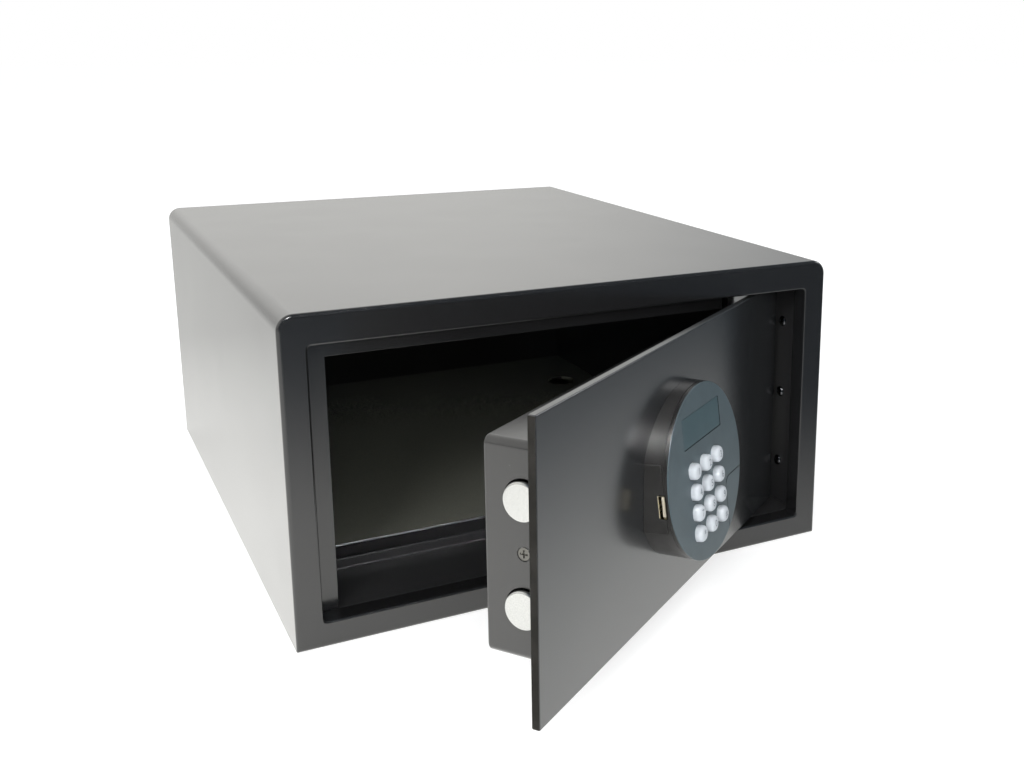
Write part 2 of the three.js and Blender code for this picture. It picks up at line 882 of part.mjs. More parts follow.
function keypadHousing() {
  const halfHeight = faceHalfHeight * Math.cos(faceTilt);
  const back = plateFront - gap;
  const front = faceY - faceRise;
  const barrel = prismY(disc(0, boxMiddle, faceHalfWidth, halfHeight), front, back, 2 * circleSteps);
  const bore = prismY(
    disc(0, boxMiddle, faceHalfWidth - housingWall, halfHeight - housingWall),
    front - overrun,
    back + overrun,
    2 * circleSteps,
  );
  const inward = housingFlat + housingWall;
  const left = -faceHalfWidth - overrun;
  const outside = slab([left, front - overrun, 0], [housingFlat, back + overrun, bodyHeight]);
  const inside = slab([inward, front, 0], [bodyWidth, back + overrun, bodyHeight]);
  const beyond = slab(
    [-bodyWidth, -bodyWidth, -faceThick - gap],
    [bodyWidth, bodyWidth, faceHalfHeight],
  );
  const hollow = common(bore, inside);
  return cut(barrel, outside, hollow, ontoDoor(beyond), ontoDoor(socketHole()));
}

// A notch in the housing's front edge, which the face closes.
function socketHole() {
  const halfTall = socketHeight / 2 + gap;
  const low = -faceThick - socketUnder - socketWidth - gap;
  return slab(
    [housingFlat - overrun, -socketDrop - halfTall, low],
    [housingFlat + overrun, -socketDrop + halfTall, overrun],
  );
}

function socket() {
  const left = housingFlat - gap;
  const right = left + socketDepth;
  const bottom = -socketDrop - socketHeight / 2;
  const top = -socketDrop + socketHeight / 2;
  const high = -faceThick - socketUnder;
  const low = high - socketWidth;
  const middle = (low + high) / 2;
  const can = slab([left, bottom, low], [right, top, high]);
  const hollow = slab(
    [left - overrun, bottom + socketWall, low + socketWall],
    [right - socketWall, top - socketWall, high - socketWall],
  );
  const tongue = slab(
    [left + 3 * socketWall, bottom + 2 * socketWall, middle - tongueThick / 2],
    [right - socketWall / 2, top - 2 * socketWall, middle + tongueThick / 2],
  );
  return join(cut(can, hollow), tongue);
}

function faceDisc() {
  return prismZ(disc(0, 0, faceHalfWidth, faceHalfHeight), -faceThick, 0, 2 * circleSteps, faceEdge);
}

// The lower right corner of the face, where the cover of the emergency lock sits.
function coverZone(grow) {
  const left = coverFromX - grow;
  const top = coverFromY + grow;
  const shape = new THREE.Shape();
  shape.moveTo(left, -bodyWidth);
  shape.lineTo(bodyWidth, -bodyWidth);
  shape.lineTo(bodyWidth, top);
  shape.absarc(left + coverCorner, top - coverCorner, coverCorner, Math.PI / 2, Math.PI);
  return prismZ(shape, -faceThick - overrun, overrun, cornerSteps);
}

function keySpots() {
  return ["1", "2", "3", "4", "5", "6", "7", "8", "9", "star", "0", "hash"].map((label, i) => ({
    label,
    x: keyLeft + (i % 3) * keyColumn,
    y: keyFirstRow - Math.floor(i / 3) * keyRow,
  }));
}

function keyShape(spot, grow) {
  const halfWidth = keyWidth / 2 + grow;
  const halfHeight = keyHeight / 2 + grow;
  return roundedBox(
    spot.x - halfWidth,
    spot.y - halfHeight,
    spot.x + halfWidth,
    spot.y + halfHeight,
    keyRadius + grow,
  );
}

function keypadFace() {
  const holes = keySpots().map((spot) =>
    prismZ(keyShape(spot, gap), -faceThick - overrun, overrun, cornerSteps),
  );
  const pocket = slab(
    [windowLeft - gap, windowBottom - gap, -windowSink - windowThick - gap],
    [windowRight + gap, windowTop + gap, overrun],
  );
  const left = boardLeft + studInset;
  const studs = [
    [left, boardBottom / 2],
    [left, -boardBottom / 2],
    [boardRight - studInset, boardTop - studInset],
    [0, boardBottom + studInset],
  ].map(([x, y]) => prismZ(disc(x, y, studRadius), boardFace + gap, -faceThick / 2, screwSteps));
  return cut(join(faceDisc(), ...studs), coverZone(gap), pocket, ...holes);
}

function keyCover() {
  const peg = prismZ(disc(pegX, pegY, pegRadius), -faceThick - pegLength, -faceThick / 2, screwSteps);
  return join(common(faceDisc(), coverZone(0)), peg);
}

function displayWindow() {
  return slab(
    [windowLeft, windowBottom, -windowSink - windowThick],
    [windowRight, windowTop, -windowSink],
  );
}

function key(spot) {
  return prismZ(keyShape(spot, 0), keyBase, keyRise, cornerSteps, keyEdge);
}

function keypadBoard() {
  const inset = housingWall + boardClearance;
  const low = boardFace - boardThick;
  const sheet = disc(0, 0, faceHalfWidth - inset, faceHalfHeight - inset);
  const bounds = slab([boardLeft, boardBottom, low], [boardRight, boardTop, boardFace]);
  return common(prismZ(sheet, low - overrun, boardFace + overrun), bounds);
}

// Assembly

function addBody(group) {
  place(group, "body_shell", bodyShell(), paint);
  place(group, "front_frame", frontFrame(), paint);
  place(group, "back_panel", backPanel(), paint);
  place(group, "base_plate", basePlate(), paint);
  place(group, "door_stop", doorStop(), innerPaint);
  place(group, "sill", sill(), innerPaint);
  place(group, "hinge_post", hingePost(), innerPaint);
  place(group, "hinge_header", hingeHeader(), innerPaint);
  place(group, "bolt_keeper", boltKeeper(), innerPaint);
  place(group, "floor_tray", floorTray(), floorFinish);
  const underDoor = bottomRim + gap;
  const overDoor = doorwayTop - gap - bushCollarThick;
  place(group, "hinge_bush_bottom", bush(underDoor, underDoor - bushCollar, underDoor + gap), brass);
  place(group, "hinge_bush_top", bush(overDoor, overDoor, overDoor + bushCollar), brass);
  postScrewLevels().forEach((z, i) => {
    const x = postFace - gap - postHeadHeight;
    const screw = screwX(
      x,
      postScrewY,
      z,
      postHeadRadius,
      postHeadHeight,
      postShankRadius,
      postShankLength,
    );
    place(group, `post_screw_${i + 1}`, screw, chrome);
  });
}

function addDoor(group) {
  place(group, "door_plate", doorPlate(), paint);
  place(group, "hinge_bracket_top", hingeBracket(plateTop - lugHeight), steel);
  place(group, "hinge_bracket_bottom", hingeBracket(plateBottom), steel);
  place(group, "hinge_pin_top", hingePin(plateTop - lugHeight + gap), steel);
  place(group, "hinge_pin_bottom", hingePin(plateBottom + lugHeight - gap - pinLength), steel);
  place(group, "bolt_box", boltBox(), paint);
  const leftLug = boxLeft + boxSheet + gap;
  const rightLug = boxRight - boxSheet - gap - fixThick;
  place(group, "box_lug_left", boxLug(leftLug), steel);
  place(group, "box_lug_right", boxLug(rightLug), steel);
  place(group, "box_screw_left", boxScrew(boxLeft), steel);
  const rightScrew = boxScrew(-boxRight).rotateZ(Math.PI).translate(0, 2 * fixY, 0);
  place(group, "box_screw_right", rightScrew, steel);
}

function addBoltWork(group) {
  place(group, "bolt_lower", bolt(boltLevels[0]), chrome);
  place(group, "bolt_upper", bolt(boltLevels[1]), chrome);
  place(group, "bolt_carriage", boltCarriage(), steel);
  place(group, "bolt_guide", boltGuide(), steel);
  place(group, "arm_guide", armGuide(), darkPlastic);
  place(group, "drive_pinion", drivePinion(), brass);
  place(group, "gearbox", gearbox(), darkPlastic);
  place(group, "motor", motor(), steel);
  place(group, "lock_cylinder", lockCylinder(), brass);
  place(group, "lock_plug", lockPlug(), steel);
}

function addPower(group) {
  place(group, "battery_tray", batteryTray(), darkPlastic);
  [0, 1].forEach((row) =>
    [0, 1].forEach((layer) => {
      const name = `battery_${1 + row * 2 + layer}`;
      place(group, name, battery(row, layer, (row + layer) % 2 === 0), cellJacket);
    }),
  );
  place(group, "battery_cover", batteryCover(), paint);
  place(group, "cover_screw", coverScrew(), steel);
}

function addKeypad(group) {
  place(group, "keypad_housing", keypadHousing(), darkPlastic);
  place(group, "usb_socket", ontoDoor(socket()), brass);
  place(group, "keypad_face", ontoDoor(keypadFace()), faceFilm);
  place(group, "key_cover", ontoDoor(keyCover()), faceFilm);
  place(group, "display_window", ontoDoor(displayWindow()), lens);
  place(group, "keypad_board", ontoDoor(keypadBoard()), board);
  keySpots().forEach((spot) => place(group, `key_${spot.label}`, ontoDoor(key(spot)), keyRubber));
}

const body = new THREE.Group();
body.position.y = -bodyDepth / 2;
addBody(body);

// The hanger turns about the pins. The door in it keeps the shut door's coordinates.
const hanger = new THREE.Group();
hanger.position.set(pivotX, pivotY, 0);
hanger.rotation.z = doorOpen;
body.add(hanger);
const door = new THREE.Group();
door.position.set(-pivotX, -pivotY, 0);
hanger.add(door);
addDoor(door);
addBoltWork(door);
addPower(door);
addKeypad(door);

const safe = new THREE.Group();
safe.name = "room_safe";
safe.add(body);

export default safe;
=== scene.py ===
import json
import math

import bmesh
import bpy
from mathutils import Matrix, Vector


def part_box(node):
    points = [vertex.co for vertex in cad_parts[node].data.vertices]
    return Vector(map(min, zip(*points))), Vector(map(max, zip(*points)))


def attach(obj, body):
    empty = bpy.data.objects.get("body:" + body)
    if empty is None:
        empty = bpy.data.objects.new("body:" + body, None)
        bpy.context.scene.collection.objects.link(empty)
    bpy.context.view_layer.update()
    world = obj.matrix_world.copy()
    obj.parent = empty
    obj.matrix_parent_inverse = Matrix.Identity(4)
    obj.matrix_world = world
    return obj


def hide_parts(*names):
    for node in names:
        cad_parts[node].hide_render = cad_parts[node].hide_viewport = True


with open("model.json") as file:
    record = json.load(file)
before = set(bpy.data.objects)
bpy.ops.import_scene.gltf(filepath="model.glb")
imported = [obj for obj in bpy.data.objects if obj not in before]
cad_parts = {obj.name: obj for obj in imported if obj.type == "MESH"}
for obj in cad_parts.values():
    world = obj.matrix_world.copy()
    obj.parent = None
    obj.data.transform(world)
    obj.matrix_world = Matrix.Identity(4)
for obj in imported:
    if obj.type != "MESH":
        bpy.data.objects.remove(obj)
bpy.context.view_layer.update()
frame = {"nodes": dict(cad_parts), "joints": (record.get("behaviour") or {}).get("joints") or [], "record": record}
nodes = frame["nodes"]
bodyOf = {n: body for body, members in frame["record"]["behaviour"]["bodies"].items() for n in members}
print("frame loaded")

view = {
    "place": (-0.2870, -0.8086, 0.3323),
    "heading": 28.87,  # degrees from straight ahead towards +X
    "down": 13.30,
    "roll": 0.53,
    "frame": (1024, 766),
    "focalPixels": 1162.6,
    "axisPixel": (647.5, 310.8),  # where the lens axis meets the frame
}


def addCamera():
    heading, down, roll = (math.radians(view[k]) for k in ("heading", "down", "roll"))
    ahead = Vector((
        math.sin(heading) * math.cos(down),
        math.cos(heading) * math.cos(down),
        -math.sin(down),
    ))
    level = Vector((math.cos(heading), -math.sin(heading), 0))
    upright = level.cross(ahead)
    right = level * math.cos(roll) + upright * math.sin(roll)
    up = upright * math.cos(roll) - level * math.sin(roll)
    data = bpy.data.cameras.new("camera")
    width, height = view["frame"]
    data.sensor_width = 36
    data.lens = view["focalPixels"] * data.sensor_width / width
    data.shift_x = (width / 2 - view["axisPixel"][0]) / width
    data.shift_y = (view["axisPixel"][1] - height / 2) / width
    data.clip_start = 0.01
    camera = bpy.data.objects.new("camera", data)
    turn = Matrix((right, up, -ahead)).transposed().to_4x4()
    camera.matrix_world = Matrix.Translation(view["place"]) @ turn
    bpy.context.scene.collection.objects.link(camera)
    bpy.context.scene.camera = camera


addCamera()

# Where the body, the shut door and the tilted keypad face are drawn
hinge = next(j for j in frame["joints"] if j["name"] == "door_hinge")
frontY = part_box("front_frame")[0].y
bodyPlace = Matrix.Translation((0, frontY, 0)) @ Matrix.Scale(0.001, 4)
pivot = Matrix.Translation((hinge["pos_m"][0], hinge["pos_m"][1], 0))
doorTurn = Matrix.Rotation(-math.radians(hinge["range_deg"][0]), 4, "Z")
doorPlace = pivot @ doorTurn @ pivot.inverted() @ bodyPlace
face = {"tilt": 7.1, "front": -7.6, "middle": 94.5}
tilt = math.radians(face["tilt"])
faceTurn = Matrix.Rotation(math.radians(90 - face["tilt"]), 4, "X")
faceOnDoor = Matrix.Translation((0, face["front"], face["middle"])) @ faceTurn
facePlace = doorPlace @ faceOnDoor


# Mesh tools

def at(a, b, height, axis):
    return Vector({"Z": (a, b, height), "Y": (a, height, b), "X": (height, a, b)}[axis])


def roundBox(left, bottom, right, top, radius, lowRadius=None, steps=6):
    low = radius if lowRadius is None else lowRadius
    corners = (
        (right - radius, top - radius, radius, 0),
        (left + radius, top - radius, radius, 90),
        (left + low, bottom + low, low, 180),
        (right - low, bottom + low, low, 270),
    )
    points = []
    for a, b, r, start in corners:
        for i in range(steps + 1):
            angle = math.radians(start + 90 * i / steps)
            points.append((a + r * math.cos(angle), b + r * math.sin(angle)))
    return points


def oval(half, tall, steps=160, a=0, b=0):
    turns = (2 * math.pi * i / steps for i in range(steps))
    return [(a + half * math.cos(t), b + tall * math.sin(t)) for t in turns]


def angles(steps, turn=90):
    return [math.radians(turn * i / steps) for i in range(steps + 1)]


def loft(loops, closed=False, caps=True):
    mesh = bmesh.new()
    rows = [[mesh.verts.new(p) for p in loop] for loop in loops]
    pairs = list(zip(rows, rows[1:])) + ([(rows[-1], rows[0])] if closed else [])
    for first, second in pairs:
        for i in range(len(first)):
            j = (i + 1) % len(first)
            mesh.faces.new((first[i], first[j], second[j], second[i]))
    if caps and not closed:
        mesh.faces.new(rows[0][::-1])
        mesh.faces.new(rows[-1])
    bmesh.ops.recalc_face_normals(mesh, faces=mesh.faces)
    return mesh


def prism(outline, low, high, axis="Y"):
    return loft([[at(a, b, h, axis) for a, b in outline] for h in (low, high)])


def slab(low, high):
    (x0, y0, z0), (x1, y1, z1) = low, high
    return prism([(x0, y0), (x1, y0), (x1, y1), (x0, y1)], z0, z1, "Z")


def lathe(profile, axis, a, b, steps):
    mesh = bmesh.new()
    rows = []
    for radius, height in profile:
        points = oval(radius, radius, steps, a, b) if radius else [(a, b)]
        rows.append([mesh.verts.new(at(p, q, height, axis)) for p, q in points])
    for first, second in zip(rows, rows[1:]):
        for i in range(steps):
            j = (i + 1) % steps
            corners = [row[k % len(row)] for row, k in ((first, i), (first, j), (second, j), (second, i))]
            mesh.faces.new(list(dict.fromkeys(corners)))
    bmesh.ops.recalc_face_normals(mesh, faces=mesh.faces)
    return mesh


# A round cutter; cutters reach a few millimetres past what they cut
def drill(radius, low, high, axis, a, b, steps=40):
    return lathe([(0, low), (radius, low), (radius, high), (0, high)], axis, a, b, steps)


def soften(mesh, width, steps=3, least=30):
    edges = [
        e for e in mesh.edges
        if len(e.link_faces) == 2 and e.calc_face_angle(0) > math.radians(least)
    ]
    bmesh.ops.bevel(
        mesh,
        geom=edges,
        offset=width,
        segments=steps,
        profile=0.5,
        affect="EDGES",
        clamp_overlap=True,
    )
    return mesh


def looseObject(mesh):
    data = bpy.data.meshes.new("loose")
    mesh.to_mesh(data)
    mesh.free()
    loose = bpy.data.objects.new("loose", data)
    bpy.context.scene.collection.objects.link(loose)
    return loose


# Points closer than the gap are joined, and flat neighbours become one face
def welded(mesh, gap, degrees):
    bmesh.ops.remove_doubles(mesh, verts=mesh.verts, dist=gap)
    bmesh.ops.dissolve_limit(mesh, angle_limit=math.radians(degrees), verts=mesh.verts, edges=mesh.edges)
    return mesh


def boolean(mesh, tools, operation="DIFFERENCE"):
    body = looseObject(mesh)
    cutters = [looseObject(t) for t in tools]
    for cutter in cutters:
        step = body.modifiers.new("cut", "BOOLEAN")
        step.operation = operation
        step.solver = "EXACT"
        step.object = cutter
    graph = bpy.context.evaluated_depsgraph_get()
    made = bpy.data.meshes.new_from_object(body.evaluated_get(graph))
    result = bmesh.new()
    result.from_mesh(made)
    for loose in [body, *cutters]:
        bpy.data.objects.remove(loose)
    return welded(result, gap=1e-4, degrees=1)


# A piece rides with its node, and takes the node's place unless stands says otherwise
def piece(name, mesh, place, material, node, stands=None, smooth=32, trim=None):
    mesh.transform(place)
    data = bpy.data.meshes.new(name)
    mesh.to_mesh(data)
    mesh.free()
    shown(name, data, material, node, stands, smooth, trim)


def shown(name, data, material, node, stands=None, smooth=32, trim=None):
    made = bpy.data.objects.new(name, data)
    bpy.context.scene.collection.objects.link(made)
    places = [f.material_index for f in data.polygons]
    data.materials.clear()
    for finish in (material, trim):
        if finish:
            data.materials.append(finish)
    data.polygons.foreach_set("material_index", places if trim else [0] * len(places))
    data.polygons.foreach_set("use_smooth", [True] * len(data.polygons))
    data.set_sharp_from_angle(angle=math.radians(smooth))
    made.data = flatShaded(made)
    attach(made, bodyOf[node])
    stands = (node,) if stands is None else stands
    if stands:
        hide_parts(*stands)


# Large faces settle the normals, so that a flat face with eased edges is shaded flat
def flatShaded(made):
    weigh = made.modifiers.new("weigh", "WEIGHTED_NORMAL")
    weigh.keep_sharp = True
    data = bpy.data.meshes.new_from_object(made.evaluated_get(bpy.context.evaluated_depsgraph_get()))
    made.modifiers.remove(weigh)
    return data


# A second material on the faces of a mesh that a test picks out
def trimmed(mesh, test):
    for f in mesh.faces:
        f.material_index = 1 if test(f) else 0
    return mesh


# A CAD node with its loose triangles merged and its edges eased
def refined(name, material, width, steps=2, trim=None, test=None):
    mesh = bmesh.new()
    mesh.from_mesh(nodes[name].data)
    mesh.transform(Matrix.Scale(1000, 4))
    soften(welded(mesh, gap=0.002, degrees=0.5), width, steps)
    if trim:
        trimmed(mesh, test)
    piece(name + "_piece", mesh, Matrix.Scale(0.001, 4), material, name, trim=trim)


# Node tools

def newNode(tree, kind, **settings):
    made = tree.nodes.new(kind)
    for key, value in settings.items():
        setattr(made, key, value)
    return made


def sums(tree, operation, first, second=None):
    made = newNode(tree, "ShaderNodeMath", operation=operation)
    for socket, value in zip(made.inputs, (first, second)):
        if isinstance(value, (int, float)):
            socket.default_value = value
        elif value is not None:
            tree.links.new(value, socket)
    return made.outputs[0]


def vectorOf(tree, **parts):
    made = newNode(tree, "ShaderNodeCombineXYZ")
    for axis, value in parts.items():
        tree.links.new(value, made.inputs[axis])
    return made.outputs["Vector"]


# Materials

def shaderOf(name):
    material = bpy.data.materials.new(name)
    material.use_nodes = True
    tree = material.node_tree
    return material, tree, tree.nodes["Principled BSDF"]


def noiseOf(tree, size, detail, stretch=(1, 1, 1)):
    place = tree.nodes.new("ShaderNodeTexCoord")
    mapping = tree.nodes.new("ShaderNodeMapping")
    mapping.inputs["Scale"].default_value = stretch
    noise = tree.nodes.new("ShaderNodeTexNoise")
    noise.inputs["Scale"].default_value = 1 / size
    noise.inputs["Detail"].default_value = detail
    tree.links.new(place.outputs["Object"], mapping.inputs["Vector"])
    tree.links.new(mapping.outputs["Vector"], noise.inputs["Vector"])
    return noise.outputs["Fac"]


# The default ends are those between which most of the noise lies
def ranged(tree, value, low, high, fromLow=0.3, fromHigh=0.7, kind="LINEAR"):
    remap = newNode(tree, "ShaderNodeMapRange", interpolation_type=kind)
    for socket, number in zip(("From Min", "From Max", "To Min", "To Max"), (fromLow, fromHigh, low, high)):
        remap.inputs[socket].default_value = number
    tree.links.new(value, remap.inputs["Value"])
    return remap.outputs["Result"]


def tinted(tree, value, dark, light):
    mix = newNode(tree, "ShaderNodeMix", data_type="RGBA")
    mix.inputs["A"].default_value = (*dark, 1)
    mix.inputs["B"].default_value = (*light, 1)
    tree.links.new(value, mix.inputs["Factor"])
    return mix.outputs["Result"]


def bumped(tree, shader, value, height):
    bump = tree.nodes.new("ShaderNodeBump")
    bump.inputs["Distance"].default_value = height
    tree.links.new(value, bump.inputs["Height"])
    tree.links.new(bump.outputs["Normal"], shader.inputs["Normal"])


def powderCoat(name, dark, light, roughness, gloss=0.2, grain=0.0006, height=0.000006):
    material, tree, shader = shaderOf(name)
    fine = noiseOf(tree, grain, detail=3)
    broad = noiseOf(tree, size=0.05, detail=2)
    tree.links.new(tinted(tree, ranged(tree, fine, 0, 1), dark, light), shader.inputs["Base Color"])
    tree.links.new(ranged(tree, broad, *roughness, kind="SMOOTHSTEP"), shader.inputs["Roughness"])
    bumped(tree, shader, fine, height)
    shader.inputs["Coat Weight"].default_value = 1
    shader.inputs["Coat Roughness"].default_value = gloss
    return material


def metal(name, colour, roughness, stretch=(1, 1, 1), grain=0.0006, height=0.000004):
    material, tree, shader = shaderOf(name)
    fine = noiseOf(tree, grain, 3, stretch)
    darker = tuple(c * 0.86 for c in colour)
    tree.links.new(tinted(tree, ranged(tree, fine, 0, 1), darker, colour), shader.inputs["Base Color"])
    tree.links.new(ranged(tree, fine, *roughness), shader.inputs["Roughness"])
    bumped(tree, shader, fine, height)
    shader.inputs["Metallic"].default_value = 1
    return material


def plastic(name, dark, light, roughness, grain=0.0004, height=0.000008, coat=0, shine=0.5):
    material, tree, shader = shaderOf(name)
    fine = noiseOf(tree, grain, detail=3)
    broad = noiseOf(tree, size=0.012, detail=2)
    mottle = ranged(tree, broad, 0, 1, kind="SMOOTHSTEP")
    tree.links.new(tinted(tree, mottle, dark, light), shader.inputs["Base Color"])
    tree.links.new(ranged(tree, fine, *roughness), shader.inputs["Roughness"])
    bumped(tree, shader, fine, height)
    shader.inputs["Specular IOR Level"].default_value = shine
    shader.inputs["Coat Weight"].default_value = coat
    shader.inputs["Coat Roughness"].default_value = 0.08
    return material


casePaint = powderCoat("casePaint", (0.006, 0.006, 0.0063), (0.011, 0.011, 0.0115), (0.24, 0.26), 0.17)
# A darker, duller material for the door plate's end faces
plateEndDark = plastic(
    "plateEndDark",
    (0.010, 0.0095, 0.008),
    (0.017, 0.016, 0.014),
    (0.55, 0.65),
    grain=0.001,
    height=0.00002,
    shine=0.15,
)
doorPaint = powderCoat("doorPaint", (0.010, 0.011, 0.012), (0.018, 0.019, 0.020), (0.24, 0.265))
# Dark inner paint; on the floor tray's front faces it is painted shade
innerPaintAndTrayShade = powderCoat("innerPaintAndTrayShade", (0.018, 0.018, 0.019), (0.028, 0.028, 0.029), (0.32, 0.38))
boxPaint = powderCoat("boxPaint", (0.012, 0.0118, 0.0115), (0.020, 0.0195, 0.019), (0.22, 0.26))
floorGloss = powderCoat("floorGloss", (0.178, 0.182, 0.152), (0.214, 0.219, 0.184), (0.14, 0.18), 0.08)
boltChrome = metal("boltChrome", (0.68, 0.685, 0.67), (0.12, 0.2))
zincSteel = metal("zincSteel", (0.52, 0.53, 0.54), (0.28, 0.38), (1, 6, 6))
darkScrew = metal("darkScrew", (0.20, 0.195, 0.18), (0.28, 0.38))
postSteel = metal("postSteel", (0.20, 0.20, 0.21), (0.08, 0.12))
brightBrass = metal("brightBrass", (0.72, 0.56, 0.30), (0.2, 0.27))
socketMetal = metal("socketMetal", (0.75, 0.68, 0.50), (0.14, 0.24))
housingPlastic = plastic("housingPlastic", (0.014, 0.0135, 0.013), (0.020, 0.0192, 0.0185), (0.28, 0.34))
faceFilm = plastic("faceFilm", (0.044, 0.064, 0.073), (0.052, 0.074, 0.084), (0.34, 0.4))
windowFilm = plastic("windowFilm", (0.030, 0.058, 0.068), (0.036, 0.066, 0.076), (0.3, 0.36))
keyRubber = plastic("keyRubber", (0.40, 0.43, 0.455), (0.43, 0.46, 0.49), (0.5, 0.56))
keyInk = plastic("keyInk", (0.09, 0.11, 0.13), (0.12, 0.14, 0.16), (0.4, 0.5))
tonguePlastic = plastic("tonguePlastic", (0.34, 0.31, 0.24), (0.42, 0.38, 0.30), (0.4, 0.5))
blackPlastic = plastic("blackPlastic", (0.012, 0.012, 0.013), (0.020, 0.020, 0.021), (0.4, 0.5))
boardGreen = plastic("boardGreen", (0.015, 0.075, 0.042), (0.022, 0.095, 0.055), (0.3, 0.4))
cellJacket = plastic("cellJacket", (0.030, 0.034, 0.040), (0.040, 0.045, 0.052), (0.22, 0.27), coat=0.4)
print("materials made")


# Geometry Nodes trees

def newTree(name, sizes, counted=True):
    inputs = [("Count", "Int")] if counted else []
    inputs += [*((label, "Float") for label in sizes), ("Material", "Material")]
    tree = bpy.data.node_groups.new(name, "GeometryNodeTree")
    for label, kind in inputs:
        tree.interface.new_socket(label, in_out="INPUT", socket_type="NodeSocket" + kind)
    tree.interface.new_socket("Geometry", in_out="OUTPUT", socket_type="NodeSocketGeometry")
    return tree, tree.nodes.new("NodeGroupInput"), tree.nodes.new("NodeGroupOutput")


def closeTree(tree, inputs, outputs, geometry):
    real = newNode(tree, "GeometryNodeRealizeInstances")
    paint = newNode(tree, "GeometryNodeSetMaterial")
    tree.links.new(geometry, real.inputs["Geometry"])
    tree.links.new(real.outputs["Geometry"], paint.inputs["Geometry"])
    tree.links.new(inputs.outputs["Material"], paint.inputs["Material"])
    tree.links.new(paint.outputs["Geometry"], outputs.inputs["Geometry"])


def grown(tree, values, place):
    holder = looseObject(bmesh.new())
    growth = holder.modifiers.new("grow", "NODES")
    growth.node_group = tree
    for socket in tree.interface.items_tree:
        if socket.in_out == "INPUT":
            growth[socket.identifier] = values[socket.name]
    graph = bpy.context.evaluated_depsgraph_get()
    data = bpy.data.meshes.new_from_object(holder.evaluated_get(graph))
    bpy.data.objects.remove(holder)
    data.transform(place)
    return data


def ballOf(tree, segments, rings):
    ball = newNode(tree, "GeometryNodeMeshUVSphere")
    for label, value in (("Segments", segments), ("Rings", rings), ("Radius", 1)):
        ball.inputs[label].default_value = value
    return ball.outputs["Mesh"]


def barOf(tree, size):
    bar = newNode(tree, "GeometryNodeMeshCube")
    tree.links.new(size, bar.inputs["Size"])
    return bar.outputs["Mesh"]


def changed(tree, form, socket, vector):
    made = newNode(tree, "GeometryNodeTransform")
    tree.links.new(form, made.inputs["Geometry"])
    tree.links.new(vector, made.inputs[socket])
    return made.outputs["Geometry"]


# Copies of one form, set a pitch apart
def rowOf(tree, group, form):
    line = newNode(tree, "GeometryNodeMeshLine")
    tree.links.new(group.outputs["Count"], line.inputs["Count"])
    tree.links.new(vectorOf(tree, X=group.outputs["Pitch"]), line.inputs["Offset"])
    copies = newNode(tree, "GeometryNodeInstanceOnPoints")
    tree.links.new(line.outputs["Mesh"], copies.inputs["Points"])
    tree.links.new(form, copies.inputs["Instance"])
    return copies.outputs["Instances"]


def screwTree():
    sizes = ("Pitch", "Head Radius", "Head Height", "Slot Width", "Slot Depth")
    tree, group, out = newTree("crossScrews", sizes)
    radius, height = group.outputs["Head Radius"], group.outputs["Head Height"]
    head = changed(tree, ballOf(tree, 40, 20), "Scale", vectorOf(tree, X=radius, Y=radius, Z=height))
    cross = newNode(tree, "GeometryNodeMeshBoolean", operation="DIFFERENCE")
    tree.links.new(head, cross.inputs["Mesh 1"])
    reach = sums(tree, "MULTIPLY", radius, 1.2)  # the bars end past the head
    deep = sums(tree, "MULTIPLY", group.outputs["Slot Depth"], 2)  # half of a bar stands above the head
    for long, short in (("X", "Y"), ("Y", "X")):
        size = vectorOf(tree, **{long: reach, short: group.outputs["Slot Width"], "Z": deep})
        raised = changed(tree, barOf(tree, size), "Translation", vectorOf(tree, Z=height))
        tree.links.new(raised, cross.inputs["Mesh 2"])
    closeTree(tree, group, out, rowOf(tree, group, cross.outputs["Mesh"]))
    return tree


# One key: a ball whose points are pushed out towards a pillar with a rounded top
def keyTree():
    tree, group, out = newTree("keyCap", ("Width", "Height", "Rise", "Depth", "Plan", "Edge"), False)
    plan, edge = group.outputs["Plan"], group.outputs["Edge"]
    where = newNode(tree, "GeometryNodeInputPosition")
    split = newNode(tree, "ShaderNodeSeparateXYZ")
    tree.links.new(where.outputs["Position"], split.inputs["Vector"])

    def pushed(axis, power, size):
        place = split.outputs[axis]
        length = sums(tree, "POWER", sums(tree, "ABSOLUTE", place), power)
        return sums(tree, "MULTIPLY", sums(tree, "MULTIPLY", length, sums(tree, "SIGN", place)), size)

    # How far a point lies from the axis settles how round the rim is
    radius = newNode(tree, "ShaderNodeVectorMath", operation="LENGTH")
    tree.links.new(vectorOf(tree, X=split.outputs["X"], Y=split.outputs["Y"]), radius.inputs[0])
    away = sums(tree, "MAXIMUM", radius.outputs["Value"], 0.0001)
    spread = sums(tree, "POWER", away, sums(tree, "SUBTRACT", edge, plan))
    parts = {}
    for axis, label in (("X", "Width"), ("Y", "Height")):
        half = sums(tree, "MULTIPLY", sums(tree, "MULTIPLY", group.outputs[label], 0.5), spread)
        parts[axis] = pushed(axis, plan, half)
    above = newNode(tree, "FunctionNodeCompare", operation="GREATER_THAN")
    tree.links.new(split.outputs["Z"], above.inputs[0])
    tall = newNode(tree, "GeometryNodeSwitch", input_type="FLOAT")
    tree.links.new(above.outputs["Result"], tall.inputs["Switch"])
    tree.links.new(group.outputs["Depth"], tall.inputs["False"])
    tree.links.new(group.outputs["Rise"], tall.inputs["True"])
    parts["Z"] = pushed("Z", edge, tall.outputs[0])
    shape = newNode(tree, "GeometryNodeSetPosition")
    tree.links.new(ballOf(tree, 64, 40), shape.inputs["Geometry"])
    tree.links.new(vectorOf(tree, **parts), shape.inputs["Position"])
    closeTree(tree, group, out, shape.outputs["Geometry"])
    return tree


def barTree():
    tree, group, out = newTree("barRow", ("Pitch", "Width", "Length", "Thickness"))
    width, length, thick = (group.outputs[k] for k in ("Width", "Length", "Thickness"))
    bar = barOf(tree, vectorOf(tree, X=width, Y=length, Z=thick))
    closeTree(tree, group, out, rowOf(tree, group, bar))
    return tree


